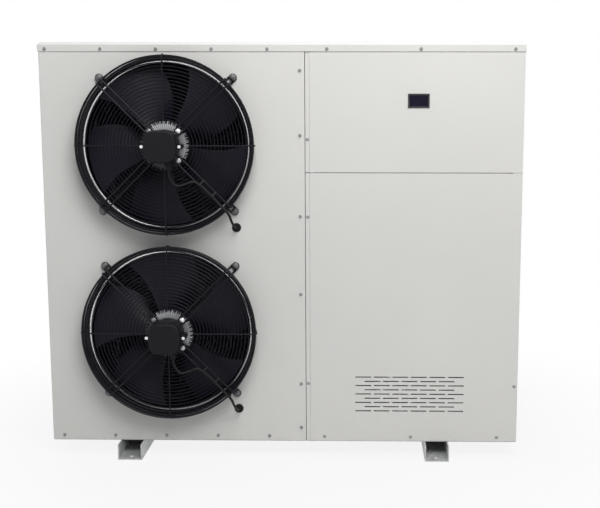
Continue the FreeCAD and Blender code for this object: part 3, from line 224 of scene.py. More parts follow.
def either_of(tree, values):
    """The largest of several values."""
    largest = values[0]
    for value in values[1:]:
        largest = math_node(tree, "MAXIMUM", largest, value)
    return largest


def remap(tree, value, low, high, start=0.0, end=1.0, kind="LINEAR"):
    """Maps start..end to low..high, and holds the ends."""
    node = add_node(tree, "ShaderNodeMapRange", interpolation_type=kind)
    node.inputs["From Min"].default_value = start
    node.inputs["From Max"].default_value = end
    node.inputs["To Min"].default_value = low
    node.inputs["To Max"].default_value = high
    tree.links.new(value, node.inputs["Value"])
    return node.outputs["Result"]


def ramp(tree, value, low_stop, high_stop):
    """A colour ramp between two (position, colour) stops."""
    node = add_node(tree, "ShaderNodeValToRGB")
    for element, (position, colour) in zip(node.color_ramp.elements, (low_stop, high_stop)):
        element.position = position
        element.color = (*colour, 1)
    tree.links.new(value, node.inputs["Fac"])
    return node.outputs["Color"]


def shaded(colour, factor):
    return tuple(channel * factor for channel in colour)


def cloudy_tone(tree, cloud, base, darkest, lightest, low=0.25, high=0.75):
    """A base colour that a cloud makes darker and lighter by the given factors."""
    return ramp(tree, cloud, (low, shaded(base, darkest)), (high, shaded(base, lightest)))


def mixed_colour(tree, factor, first, second):
    """Goes from the first colour to the second as the factor rises; each is a socket or a plain colour."""
    node = add_node(tree, "ShaderNodeMix", data_type="RGBA")
    tree.links.new(factor, node.inputs["Factor"])
    colour_sockets = [socket for socket in node.inputs if socket.type == "RGBA"]
    for socket, colour in zip(colour_sockets, (first, second)):
        if isinstance(colour, tuple):
            socket.default_value = (*colour, 1)
        else:
            tree.links.new(colour, socket)
    return next(output for output in node.outputs if output.type == "RGBA")


def mixed_shader(tree, factor, first, second, output):
    """Goes from the first shader to the second as the factor rises, into the output's surface."""
    node = add_node(tree, "ShaderNodeMixShader")
    tree.links.new(factor, node.inputs["Fac"])
    tree.links.new(first, node.inputs[1])
    tree.links.new(second, node.inputs[2])
    tree.links.new(node.outputs["Shader"], output.inputs["Surface"])


def bump(tree, height, strength, distance, shader, edge=0.0):
    """Fine relief from a height, over edges that are rounded by the given radius."""
    node = add_node(tree, "ShaderNodeBump")
    node.inputs["Strength"].default_value = strength
    node.inputs["Distance"].default_value = distance
    tree.links.new(height, node.inputs["Height"])
    if edge > 0:
        soft = add_node(tree, "ShaderNodeBevel", samples=4)
        soft.inputs["Radius"].default_value = edge
        tree.links.new(soft.outputs["Normal"], node.inputs["Normal"])
    tree.links.new(node.outputs["Normal"], shader.inputs["Normal"])


# Materials

def paint_material():
    """Warm off-white powder coat: soft orange peel, faint cloudiness and a little dust low down."""
    material, tree, shader = new_material("panel_paint")
    base = (0.735, 0.735, 0.722)
    dust_colour = (0.50, 0.48, 0.43)
    dust_top = 0.30
    dust_foot = 0.04
    dust_most = 0.16
    rough = (0.40, 0.52)
    place = object_place(tree)
    cloud = noise(tree, place, scale=2.2, detail=4.0)
    tint = cloudy_tone(tree, cloud, base, darkest=0.965, lightest=1.02, low=0.3, high=0.7)
    height = split_place(tree, place)["Z"]
    dust = remap(tree, height, 0.0, dust_most, start=dust_top, end=dust_foot)
    grain = noise(tree, place, scale=38.0, detail=6.0, roughness=0.7)
    colour = mixed_colour(tree, math_node(tree, "MULTIPLY", dust, grain), tint, dust_colour)
    tree.links.new(colour, shader.inputs["Base Color"])
    tree.links.new(remap(tree, grain, *rough), shader.inputs["Roughness"])
    peel = noise(tree, place, scale=620.0, detail=2.0)
    bump(tree, peel, strength=0.10, distance=0.0004, shader=shader, edge=0.0009)
    return material


def galvanised_material():
    """Zinc-coated sheet with a spangle pattern and dull patches."""
    material, tree, shader = new_material("galvanised")
    dark_spangle = (0.46, 0.47, 0.47)
    light_spangle = (0.62, 0.63, 0.64)
    rough = (0.34, 0.62)
    place = object_place(tree)
    cells = add_node(tree, "ShaderNodeTexVoronoi")
    cells.inputs["Scale"].default_value = 110.0
    tree.links.new(place, cells.inputs["Vector"])
    grey = add_node(tree, "ShaderNodeSeparateColor")
    tree.links.new(cells.outputs["Color"], grey.inputs["Color"])
    colour = ramp(tree, grey.outputs["Red"], (0.0, dark_spangle), (1.0, light_spangle))
    tree.links.new(colour, shader.inputs["Base Color"])
    shader.inputs["Metallic"].default_value = 0.40
    dull = noise(tree, place, scale=14.0, detail=5.0)
    tree.links.new(remap(tree, dull, *rough), shader.inputs["Roughness"])
    bump(tree, noise(tree, place, scale=240.0), strength=0.06, distance=0.0004, shader=shader)
    return material


def black_coat_material(name, base, rough, gloss, grain_scale=700.0):
    """Black stove enamel or powder coat with a fine grain; rough is its lowest and highest roughness."""
    material, tree, shader = new_material(name)
    place = object_place(tree)
    cloud = noise(tree, place, scale=18.0, detail=4.0)
    tone = cloudy_tone(tree, cloud, base, darkest=0.85, lightest=1.25)
    tree.links.new(tone, shader.inputs["Base Color"])
    shader.inputs["Specular IOR Level"].default_value = gloss
    tree.links.new(remap(tree, cloud, *rough), shader.inputs["Roughness"])
    grain = noise(tree, place, grain_scale, detail=2.0)
    bump(tree, grain, strength=0.12, distance=0.0003, shader=shader)
    return material


def metal_material(name, base, rough, grain_scale, relief, metallic=1.0):
    """Bare metal with cloudy tone, uneven gloss and a light grain."""
    material, tree, shader = new_material(name)
    place = object_place(tree)
    cloud = noise(tree, place, scale=30.0, detail=4.0)
    tone = cloudy_tone(tree, cloud, base, darkest=0.88, lightest=1.06)
    tree.links.new(tone, shader.inputs["Base Color"])
    shader.inputs["Metallic"].default_value = metallic
    tree.links.new(remap(tree, cloud, *rough), shader.inputs["Roughness"])
    bump(tree, noise(tree, place, grain_scale), relief, distance=0.0004, shader=shader)
    return material


def plastic_material(name, base, roughness, gloss=0.5, grain_scale=900.0, relief=0.15):
    """Moulded plastic with a spark-eroded grain."""
    material, tree, shader = new_material(name)
    smoother = 0.05
    rougher = 0.07
    place = object_place(tree)
    cloud = noise(tree, place, scale=25.0)
    tone = cloudy_tone(tree, cloud, base, darkest=0.92, lightest=1.1, low=0.3, high=0.7)
    tree.links.new(tone, shader.inputs["Base Color"])
    shader.inputs["Specular IOR Level"].default_value = gloss
    uneven = remap(tree, cloud, roughness - smoother, roughness + rougher)
    tree.links.new(uneven, shader.inputs["Roughness"])
    grain = noise(tree, place, grain_scale, detail=2.0)
    bump(tree, grain, relief, distance=0.0003, shader=shader)
    return material


def painted_light_share(tree, place, fan, lit_side, shade_at, lit_at, least, fins):
    """How much of the metal about one fan's axis keeps its painted light rather than painted shade, rising along a
    direction in degrees; with fins, painted shade also falls between the ribs.
    """
    field_half_height = 0.24
    shade_between_fins = 0.45
    axes = split_place(tree, place)
    across = math_node(tree, "SUBTRACT", axes["X"], fan.x)
    above = math_node(tree, "SUBTRACT", axes["Z"], fan.z)
    own = math_node(tree, "LESS_THAN", math_node(tree, "ABSOLUTE", above), field_half_height)
    side = math_node(tree, "MULTIPLY", across, math.cos(math.radians(lit_side)))
    rise = math_node(tree, "MULTIPLY", above, math.sin(math.radians(lit_side)))
    reach = math_node(tree, "ADD", side, rise)
    lit_by_side = remap(tree, reach, least, 1.0, start=shade_at, end=lit_at, kind="SMOOTHSTEP")
    lit = math_node(tree, "MULTIPLY", own, lit_by_side)
    # Painted shade in the grooves between the ribs: only a share of the light is left there
    if fins:
        angle = math_node(tree, "ARCTAN2", above, across)
        wave = math_node(tree, "SINE", math_node(tree, "MULTIPLY", angle, fins))
        lit = math_node(tree, "MULTIPLY", lit, remap(tree, wave, shade_between_fins, 1.0))
    return lit


def painted_shade_metal_material(name, base, lit_side, shade_at, lit_at, least, metallic, rough, fins=0):
    """Bare metal about the fans' axes with painted light and shade: lit towards an angle in degrees, painted
    near-black shade on the far side.
    """
    material, tree, shader = new_material(name)
    # The near-black colour of the painted shade
    painted_shade_colour = (0.012, 0.012, 0.015)
    place = object_place(tree)
    lit_shares = [painted_light_share(tree, place, fan, lit_side, shade_at, lit_at, least, fins) for fan in FANS]
    cloud = noise(tree, place, scale=30.0, detail=4.0)
    metal = cloudy_tone(tree, cloud, base, darkest=0.90, lightest=1.04)
    # Painted shade mixes in on the side turned from the light, painted light on the lit side
    colour = mixed_colour(tree, either_of(tree, lit_shares), painted_shade_colour, metal)
    tree.links.new(colour, shader.inputs["Base Color"])
    shader.inputs["Metallic"].default_value = metallic
    tree.links.new(remap(tree, cloud, *rough), shader.inputs["Roughness"])
    bump(tree, noise(tree, place, scale=300.0), strength=0.05, distance=0.0003, shader=shader)
    return material


def window_material():
    """The display's dark glossy window with a faint blue cast."""
    material, tree, shader = new_material("display_window")
    dark = (0.008, 0.006, 0.018)
    light = (0.012, 0.009, 0.025)
    rough = (0.08, 0.16)
    smear = noise(tree, object_place(tree), scale=60.0)
    tree.links.new(ramp(tree, smear, (0.3, dark), (0.7, light)), shader.inputs["Base Color"])
    tree.links.new(remap(tree, smear, *rough), shader.inputs["Roughness"])
    shader.inputs["Specular IOR Level"].default_value = 0.10
    return material


materials = {
    "panel_paint": paint_material(),
    "galvanised": galvanised_material(),
    "guard_black": black_coat_material(
        "guard_black", base=(0.0038, 0.0035, 0.0072), rough=(0.32, 0.44), gloss=0.20),
    "impeller_black": black_coat_material(
        "impeller_black", base=(0.0100, 0.0090, 0.0185), rough=(0.34, 0.48), gloss=0.20, grain_scale=420.0),
    "rotor_black": black_coat_material(
        "rotor_black", base=(0.005, 0.005, 0.006), rough=(0.45, 0.60), gloss=0.15),
    "compressor_paint": black_coat_material(
        "compressor_paint", base=(0.015, 0.015, 0.016), rough=(0.30, 0.45), gloss=0.5, grain_scale=300.0),
    "motor_aluminium": metal_material(
        "motor_aluminium", base=(0.46, 0.47, 0.49), rough=(0.34, 0.50), grain_scale=260.0, relief=0.20,
        metallic=0.6),
    # Bright trim with painted shade: near-black towards the bottom, lit towards the top and upper left
    "orifice_trim": painted_shade_metal_material(
        "orifice_trim", base=(0.95, 0.95, 0.96), lit_side=100, shade_at=-0.20, lit_at=0.08, least=0.3,
        metallic=0.9, rough=(0.16, 0.26)),
    # Motor shields with painted shade: dark towards the lower left, lit towards the upper right, and darker
    # between the ribs
    "motor_shield": painted_shade_metal_material(
        "motor_shield", base=(0.62, 0.63, 0.66), lit_side=50, shade_at=-0.016, lit_at=0.020, least=0.06,
        metallic=0.6, rough=(0.30, 0.46), fins=RIB_COUNT),
    # Eye bolts with painted shade: the bolts towards the lower left are darkened, those towards the upper right
    # stay lit
    "eye_zinc": painted_shade_metal_material(
        "eye_zinc", base=(0.85, 0.86, 0.88), lit_side=35, shade_at=-0.025, lit_at=0.040, least=0.06,
        metallic=0.5, rough=(0.22, 0.34)),
    "bright_zinc": metal_material(
        "bright_zinc", base=(0.80, 0.81, 0.82), rough=(0.22, 0.36), grain_scale=900.0, relief=0.06),
    "dull_zinc": metal_material(
        "dull_zinc", base=(0.13, 0.13, 0.135), rough=(0.32, 0.46), grain_scale=600.0, relief=0.08,
        metallic=0.8),
    "screw_steel": metal_material(
        "screw_steel", base=(0.30, 0.30, 0.30), rough=(0.30, 0.44), grain_scale=900.0, relief=0.06),
    "fin_aluminium": metal_material(
        "fin_aluminium", base=(0.42, 0.43, 0.47), rough=(0.50, 0.66), grain_scale=160.0, relief=0.05,
        metallic=0.5),
    "copper": metal_material(
        "copper", base=(0.38, 0.19, 0.12), rough=(0.34, 0.52), grain_scale=200.0, relief=0.05),
    # A darkened copy of the copper: partly dulled by oxide, partly painted shade for the tubes deep inside the
    # coil
    "shaded_tube_copper": metal_material(
        "shaded_tube_copper", base=(0.10, 0.062, 0.050), rough=(0.40, 0.56), grain_scale=200.0, relief=0.05),
    "valve_brass": metal_material(
        "valve_brass", base=(0.70, 0.52, 0.24), rough=(0.28, 0.40), grain_scale=500.0, relief=0.06),
    "box_plastic": plastic_material(
        "box_plastic", base=(0.0044, 0.0040, 0.0062), roughness=0.50, gloss=0.18),
    "bezel_plastic": plastic_material("bezel_plastic", base=(0.012, 0.012, 0.014), roughness=0.42),
    "terminal_plastic": plastic_material("terminal_plastic", base=(0.28, 0.29, 0.31), roughness=0.50),
    "cable_black": plastic_material(
        "cable_black", base=(0.005, 0.005, 0.0065), roughness=0.50, gloss=0.22, grain_scale=300.0,
        relief=0.08),
    "rubber": plastic_material(
        "rubber", base=(0.005, 0.005, 0.005), roughness=0.70, gloss=0.2, grain_scale=500.0, relief=0.2),
    "display_window": window_material(),
}
special_finishes = {
    "terminal_box_screws": "bright_zinc",
    "upper_motor_stator": "motor_shield",
    "lower_motor_stator": "motor_shield",
}


def dress_cad_nodes():
    """Gives every node of the frame the material of its slot, or its special finish."""
    for entry in frame["record"]["subparts"]:
        mesh = nodes[entry["node"]].data
        mesh.materials.clear()
        name = special_finishes.get(entry["node"], entry["material_slot"])
        mesh.materials.append(materials[name])


# Mesh helpers

def add_piece(name, vertices, faces, slot_name, body, smooth=False, material=None):
    """A new mesh piece that rides on a body and takes its slot's material, or a special one."""
    mesh = bpy.data.meshes.new(name)
    mesh.from_pydata(vertices, [], faces)
    mesh.update()
    if smooth:
        mesh.shade_smooth()
    mesh.materials.append(materials[material or slot_name])
    piece = bpy.data.objects.new(name, mesh)
    bpy.context.scene.collection.objects.link(piece)
    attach(piece, body)
    return piece


class Builder:
    """Collects the vertices and faces of several closed forms for one piece."""

    def __init__(self):
        self.vertices = []
        self.faces = []

    def add(self, form):
        vertices, faces = form
        base = len(self.vertices)
        self.vertices.extend(vertices)
        for face in faces:
            self.faces.append(tuple(base + index for index in face))

    def finish(self, name, slot_name, body, smooth=False, material=None):
        return add_piece(name, self.vertices, self.faces, slot_name, body, smooth, material)


def facing(place, direction):
    """A matrix that puts a form's +Z along direction at place."""
    turn = Vector(direction).to_track_quat("Z", "Y").to_matrix().to_4x4()
    return Matrix.Translation(Vector(place)) @ turn


def circle(count):
    """The cosine and sine of evenly spaced angles round a circle."""
    angles = [2 * math.pi * step / count for step in range(count)]
    return [(math.cos(angle), math.sin(angle)) for angle in angles]


def quads_between(first, second, count):
    """The faces between two closed rings of vertices, each given by its first vertex."""
    faces = []
    for step in range(count):
        following = (step + 1) % count
        faces.append((first + step, first + following, second + following, second + step))
    return faces


def scaled(outline, radius, height, foot=0.0):
    """An outline in shares, at its real radius and height above a foot."""
    return [(radius * across, foot + height * up) for across, up in outline]


def lathe(profile, segments, matrix):
    """Vertices and faces of a closed turned form; profile is (radius, height) from axis to axis."""
    vertices = []
    faces = []
    rings = []
    for radius, height in profile:
        start = len(vertices)
        if radius == 0:
            rings.append([start])
            vertices.append(matrix @ Vector((0, 0, height)))
            continue
        rings.append(list(range(start, start + segments)))
        for cosine, sine in circle(segments):
            vertices.append(matrix @ Vector((radius * cosine, radius * sine, height)))
    for low, high in zip(rings, rings[1:]):
        for step in range(segments):
            following = (step + 1) % segments
            if len(low) == 1:
                faces.append((low[0], high[following], high[step]))
            elif len(high) == 1:
                faces.append((low[step], low[following], high[0]))
            else:
                faces.append((low[step], low[following], high[following], high[step]))
    return vertices, faces


# Coil

def bend_centre():
    """The axis of the coil's bend, seen from above."""
    low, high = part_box("condenser_fins")
    return Vector((low.x + COIL_BEND_RADIUS, high.y - COIL_BEND_RADIUS))


def bend_directions(steps):
    """The outward and onward directions at even angles round the coil's bend."""
    directions = []
    for step in range(steps + 1):
        angle = math.pi / 2 * (1 + step / steps)
        out = Vector((math.cos(angle), math.sin(angle)))
        directions.append((out, Vector((-out.y, out.x))))
    return directions


def fin_form(outer, inward, along, bottom, top):
    """One corrugated fin: a thin closed plate that zigzags across the coil's depth."""
    half = along * FIN_THICKNESS / 2
    reach = COIL_DEPTH - 2 * FIN_INSET
    line = []
    for step in range(FIN_WAVES + 1):
        wave = along * FIN_WAVE * (-1) ** step
        line.append(outer + inward * (FIN_INSET + reach * step / FIN_WAVES) + wave)
    outline = [point - half for point in line] + [point + half for point in reversed(line)]
    if along.cross(inward) > 0:
        # Round the bend the outline runs the other way, and its faces would look inward
        outline.reverse()
    count = len(outline)
    vertices = [Vector((point.x, point.y, z)) for z in (bottom, top) for point in outline]
    faces = quads_between(0, count, count)
    for step in range(FIN_WAVES):
        near = step
        far = count - 1 - step
        faces.append((near, far, far - 1, near + 1))
        faces.append((near + count, near + 1 + count, far - 1 + count, far + count))
    return vertices, faces


def fin_stations():
    """Each fin's outer point, inward and onward directions, on both legs of the coil and round its bend."""
    low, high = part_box("condenser_fins")
    centre = bend_centre()
    stations = []
    x = high.x - FIN_PITCH
    while x > centre.x:
        stations.append((Vector((x, high.y)), Vector((0, -1)), Vector((1, 0))))
        x -= FIN_PITCH
    middle_radius = COIL_BEND_RADIUS - COIL_DEPTH / 2
    steps = int(math.pi / 2 * middle_radius / FIN_PITCH)
    for out, onward in bend_directions(steps):
        stations.append((centre + out * COIL_BEND_RADIUS, -out, onward))
    y = centre.y - FIN_PITCH
    while y > low.y + FIN_PITCH:
        stations.append((Vector((low.x, y)), Vector((1, 0)), Vector((0, 1))))
        y -= FIN_PITCH
    return stations


def tube_run(offset, z, segments=8, bend_steps=8):
    """One coil tube that follows the L at a depth inside the outer face."""
    low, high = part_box("condenser_fins")
    centre = bend_centre()
    radius = COIL_BEND_RADIUS - offset
    path = [(Vector((high.x - FIN_INSET, high.y - offset)), Vector((-1, 0)))]
    for out, onward in bend_directions(bend_steps):
        path.append((centre + out * radius, onward))
    path.append((Vector((low.x + offset, low.y + FIN_INSET)), Vector((0, -1))))
    vertices = []
    for place, heading in path:
        side = Vector((-heading.y, heading.x))
        for cosine, sine in circle(segments):
            across = side * cosine * COIL_TUBE_RADIUS
            height = sine * COIL_TUBE_RADIUS
            vertices.append(Vector((place.x + across.x, place.y + across.y, z + height)))
    last = (len(path) - 1) * segments
    faces = []
    for start in range(0, last, segments):
        faces.extend(quads_between(start, start + segments, segments))
    faces.append(tuple(reversed(range(segments))))
    faces.append(tuple(range(last, last + segments)))
    return vertices, faces


def make_coil():
    """Real fins and tubes in place of the grooved block."""
    low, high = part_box("condenser_fins")
    plates = Builder()
    for outer, inward, onward in fin_stations():
        plates.add(fin_form(outer, inward, onward, low.z + FIN_INSET, high.z - FIN_INSET))
    fins = plates.finish("coil_fins", "fin_aluminium", "cabinet")
    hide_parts("condenser_fins")
    tubes = Builder()
    z = low.z + COIL_TUBE_PITCH / 2
    while z < high.z - COIL_TUBE_RADIUS:
        tubes.add(tube_run(COIL_DEPTH / 4, z))
        tubes.add(tube_run(COIL_DEPTH * 3 / 4, z))
        z += COIL_TUBE_PITCH
    # The tubes take the darkened copper, partly painted shade
    tubes.finish("coil_tubes", "copper", "cabinet", smooth=True, material="shaded_tube_copper")


# Fan collars and orifice trims

def ring_form(profile, fan, segments=128):
    """A closed ring about a fan's axis from a closed (radius, y) outline."""
    vertices = []
    faces = []
    count = len(profile)
    for cosine, sine in circle(segments):
        for radius, y in profile:
            vertices.append(Vector((fan.x + radius * cosine, y, fan.z + radius * sine)))
    for step in range(segments):
        following = (step + 1) % segments
        faces.extend(quads_between(step * count, following * count, count))
    return vertices, faces


def collar_radius(share):
    """The collar's inner radius at a share of its depth."""
    return COLLAR_FOOT_RADIUS + COLLAR_FLARE * share ** 2


def collar_outline(foot_y, steps=10, lip_steps=6):
    """The collar's section: a thin wall that flares from its foot to a rolled lip inside the guard."""
    inner = []
    for step in range(steps + 1):
        share = step / steps
        inner.append((collar_radius(share), foot_y - COLLAR_DEPTH * share))
    lip_radius, lip_y = inner[-1]
    half = COLLAR_WALL / 2
    lip = []
    for step in range(1, lip_steps):
        angle = math.pi * step / lip_steps
        lip.append((lip_radius + half - half * math.cos(angle), lip_y - half * math.sin(angle)))
    outer = [(radius + COLLAR_WALL, y) for radius, y in reversed(inner)]
    return inner + lip + outer


def trim_outline(foot_y, steps=14):
    """The section of the round bright trim that lies against the inside of the collar."""
    middle_radius = collar_radius(TRIM_DEPTH / COLLAR_DEPTH) - TRIM_WIRE_RADIUS
    middle_y = foot_y - TRIM_DEPTH
    points = []
    for cosine, sine in circle(steps):
        points.append((middle_radius + TRIM_WIRE_RADIUS * cosine, middle_y + TRIM_WIRE_RADIUS * sine))
    return points


def make_collars():
    """The black collar that stands on each fan ring's flange, inside the guard, with its bright trim."""
    foot_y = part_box("fan_panel")[0].y - FLANGE_SHEET - COLLAR_SEAT
    collars = Builder()
    trims = Builder()
    for fan in FANS:
        collars.add(ring_form(collar_outline(foot_y), fan))
        trims.add(ring_form(trim_outline(foot_y), fan))
    collars.finish("fan_collars", "guard_black", "cabinet", smooth=True)
    trims.finish("orifice_trims", "motor_aluminium", "cabinet", smooth=True, material="orifice_trim")


# Motor ribs

def rib_form(fan, angle, face_y):
    """One radial cooling rib on a motor's front shield, lower at its outer end."""
    out = Vector((math.cos(angle), 0, math.sin(angle)))
    side = Vector((-out.z, 0, out.x)) * RIB_WIDTH / 2
    centre = Vector((fan.x, face_y, fan.z))
    forward = Vector((0, -RIB_HEIGHT, 0))
    inner = centre + out * RIB_INNER_RADIUS
    outer = centre + out * RIB_OUTER_RADIUS
    vertices = []
    for point in (inner, outer, outer + forward * RIB_TIP_SHARE, inner + forward):
        vertices.append(point - side)
        vertices.append(point + side)
    faces = [(0, 1, 3, 2), (2, 3, 5, 4), (4, 5, 7, 6), (6, 7, 1, 0), (0, 2, 4, 6), (1, 7, 5, 3)]
    return vertices, faces


def make_motor_ribs():
    """Radial cooling ribs round each motor's front shield, with gaps at the four bolted ears."""
    ribs = Builder()
    for name, fan in zip(("upper", "lower"), FANS):
        face_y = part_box(name + "_motor_stator")[0].y + SHIELD_SETBACK
        for index in range(RIB_COUNT):
            angle = 2 * math.pi * (index + 0.5) / RIB_COUNT
            from_ear = abs((angle % (math.pi / 2)) - math.pi / 4)
            if from_ear > EAR_GAP_ANGLE:
                ribs.add(rib_form(fan, angle, face_y))
    ribs.finish("motor_shield_ribs", "motor_aluminium", "cabinet", material="motor_shield")


# Screws

def screw_form(place, direction, height=SCREW_HEIGHT):
    """A hexagon-washer-head sheet screw, seated on its face."""
    matrix = facing(place, direction)
    screw = Builder()
    screw.add(lathe(scaled(SCREW_WASHER_OUTLINE, SCREW_WASHER_RADIUS, height), segments=18, matrix=matrix))
    screw.add(lathe(scaled(SCREW_HEAD_OUTLINE, SCREW_HEX_RADIUS, height), segments=6, matrix=matrix))
    return screw.vertices, screw.faces


def make_lid_screws():
    """A row along the lid's front lip, where the photo shows it, and one along its rear lip."""
    low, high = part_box("top_cover")
    z = low.z + LID_SCREW_RISE
    lid = Builder()
    for x in LID_SCREWS_X:
        lid.add(screw_form((x, low.y, z), FRONT))
        lid.add(screw_form((x, high.y, z), REAR))
    lid.finish("lid_screws", "screw_steel", "cabinet")


def make_fan_panel_screws():
    """The fan panel's screws along its seam and its foot, as in the photo, and on its left side."""
    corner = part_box("fan_panel")[0]
    fan = Builder()
    for z in FAN_PANEL_SEAM_SCREWS_Z:
        fan.add(screw_form((FAN_PANEL_SEAM_X, corner.y, z), FRONT))
    for x in FAN_PANEL_FOOT_SCREWS_X:
        fan.add(screw_form((x, corner.y, FAN_PANEL_FOOT_Z), FRONT))
    for z in FAN_PANEL_SIDE_SCREWS_Z:
        fan.add(screw_form((corner.x, corner.y + FAN_PANEL_SIDE_INSET, z), LEFT, LOW_SCREW_HEIGHT))
    fan.finish("fan_panel_screws", "screw_steel", "cabinet")


def make_right_panel_screws():
    """The low screws of the two right-hand panels: in the seam's joggle, at the foot and at the edge."""
    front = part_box("fan_panel")[0].y
    edge_x, edge_z = RIGHT_PANEL_EDGE_SCREW
    places = [(RIGHT_PANEL_SEAM_X, front + RIGHT_PANEL_JOGGLE, z) for z in RIGHT_PANEL_SEAM_SCREWS_Z]
    places += [(x, front, RIGHT_PANEL_FOOT_Z) for x in RIGHT_PANEL_FOOT_SCREWS_X]
    places.append((edge_x, front, edge_z))
    right = Builder()
    for place in places:
        right.add(screw_form(place, FRONT, LOW_SCREW_HEIGHT))
    right.finish("right_panel_screws", "screw_steel", "cabinet")


def make_side_and_rear_screws():
    """Rows up both edges and along the foot of the right side panel and the rear panel."""
    side_low, side_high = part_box("side_panel_right")
    rear_low, rear_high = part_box("rear_panel")
    back = Builder()
    for z in UPRIGHT_SCREWS_Z:
        for y in (side_low.y + UPRIGHT_SCREW_INSET, side_high.y - UPRIGHT_SCREW_INSET):
            back.add(screw_form((side_high.x, y, z), RIGHT, LOW_SCREW_HEIGHT))
        for x in (rear_low.x + REAR_SEAM_SCREW_INSET, rear_high.x - UPRIGHT_SCREW_INSET):
            back.add(screw_form((x, rear_high.y, z), REAR))
    for y in SIDE_FOOT_SCREWS_Y:
        back.add(screw_form((side_high.x, y, SIDE_AND_REAR_FOOT_Z), RIGHT, LOW_SCREW_HEIGHT))
    for x in REAR_FOOT_SCREWS_X:
        back.add(screw_form((x, rear_high.y, SIDE_AND_REAR_FOOT_Z), REAR))
    back.finish("side_and_rear_screws", "screw_steel", "cabinet")


# Bolts on the guards and motors

def square_about_fans(half, y):
    """The corners of a square about each fan's axis, at the given y."""
    corners = [(-half, -half), (-half, half), (half, -half), (half, half)]
    return [Vector((fan.x + across, y, fan.z + up)) for fan in FANS for across, up in corners]


def bolt_form(place, washer_radius, washer_thickness, head_radius, bolt_height, shank_radius, shank_length):
    """A bolt with a domed washer and a rounded head, forward from the place it bears on."""
    matrix = facing(place, FRONT)
    head_foot = BOLT_HEAD_FOOT * washer_thickness
    washer = scaled(BOLT_WASHER_OUTLINE, washer_radius, washer_thickness)
    dome = scaled(BOLT_DOME_OUTLINE, head_radius, bolt_height - washer_thickness, washer_thickness)
    head = [(0, head_foot), (head_radius, head_foot)] + dome
    shank = [(0, -shank_length), (shank_radius, -shank_length), (shank_radius, 0.0), (0, 0.0)]
    bolt = Builder()
    bolt.add(lathe(washer, segments=28, matrix=matrix))
    bolt.add(lathe(head, segments=24, matrix=matrix))
    bolt.add(lathe(shank, segments=16, matrix=matrix))
    return bolt.vertices, bolt.faces


def make_lug_bolts():
    """Domed bolts at the guards' lugs, in place of the plain ones."""
    low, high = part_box("guard_bolts")
    half = (high.x - low.x) / 2 - LUG_PLAIN_RADIUS
    lugs = Builder()
    for place in square_about_fans(half, low.y + LUG_BOLT_HEIGHT):
        lugs.add(bolt_form(place, LUG_WASHER_RADIUS, LUG_WASHER_THICKNESS, LUG_HEAD_RADIUS, LUG_BOLT_HEIGHT,
                           LUG_SHANK_RADIUS, LUG_SHANK_LENGTH))
    lug_bolts = lugs.finish("lug_bolts", "screw_steel", "cabinet", smooth=True, material="dull_zinc")
    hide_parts("guard_bolts")


def make_eye_bolts():
    """Bright domed bolts at the motors' eyes, in place of the plain ones."""
    low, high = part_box("motor_bolts")
    half = (high.x - low.x) / 2 - EYE_PLAIN_RADIUS
    eyes = Builder()
    for place in square_about_fans(half, low.y + EYE_BOLT_HEIGHT):
        eyes.add(bolt_form(place, EYE_WASHER_RADIUS, EYE_WASHER_THICKNESS, EYE_HEAD_RADIUS, EYE_BOLT_HEIGHT,
                           EYE_SHANK_RADIUS, EYE_SHANK_LENGTH))
    eye_bolts = eyes.finish("motor_eye_bolts", "screw_steel", "cabinet", smooth=True, material="eye_zinc")
    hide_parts("motor_bolts")


# Cable ties

def turns_left(first, second, third):
    """Whether the way from the first point over the second to the third turns left."""
    on_x = second[0] - first[0]
    on_y = second[1] - first[1]
    next_x = third[0] - second[0]
    next_y = third[1] - second[1]
    return on_x * next_y - on_y * next_x > 0


def hull(points):
    """The convex outline of points in a plane, anticlockwise."""
    ordered = sorted(points)
    outline = []
    for row in (ordered, list(reversed(ordered))):
        chain = []
        for point in row:
            while len(chain) > 1 and not turns_left(chain[-2], chain[-1], point):
                chain.pop()
            chain.append(point)
        outline.extend(chain[:-1])
    return outline


def tie_form(circles, matrix, steps=16):
    """A band drawn tight round circles of (x, y, radius) that lie in the matrix's XY plane."""
    rings = []
    for extra in (TIE_SLACK, TIE_SLACK + TIE_THICKNESS):
        points = []
        for x, y, radius in circles:
            for cosine, sine in circle(steps):
                points.append((x + (radius + extra) * cosine, y + (radius + extra) * sine))
        rings.append(hull(points))
    inner, outer = rings
    count = min(len(inner), len(outer))
    vertices = []
    for z in (-TIE_WIDTH / 2, TIE_WIDTH / 2):
        for x, y in inner[:count] + outer[:count]:
            vertices.append(matrix @ Vector((x, y, z)))
    in_low, out_low, in_high, out_high = (ring * count for ring in range(4))
    faces = []
    for first, second in ((in_low, out_low), (out_high, in_high), (in_high, in_low), (out_low, out_high)):
        faces.extend(quads_between(first, second, count))
    return vertices, faces


def box_form(size, matrix):
    """A closed block of the given size about the matrix's origin."""
    x, y, z = (value / 2 for value in size)
    corners = [(-x, -y), (x, -y), (x, y), (-x, y)]
    vertices = []
    for height in (-z, z):
        for across, along in corners:
            vertices.append(matrix @ Vector((across, along, height)))
    faces = [(0, 3, 2, 1), (4, 5, 6, 7), (0, 1, 5, 4), (1, 2, 6, 5), (2, 3, 7, 6), (3, 0, 4, 7)]
    return vertices, faces


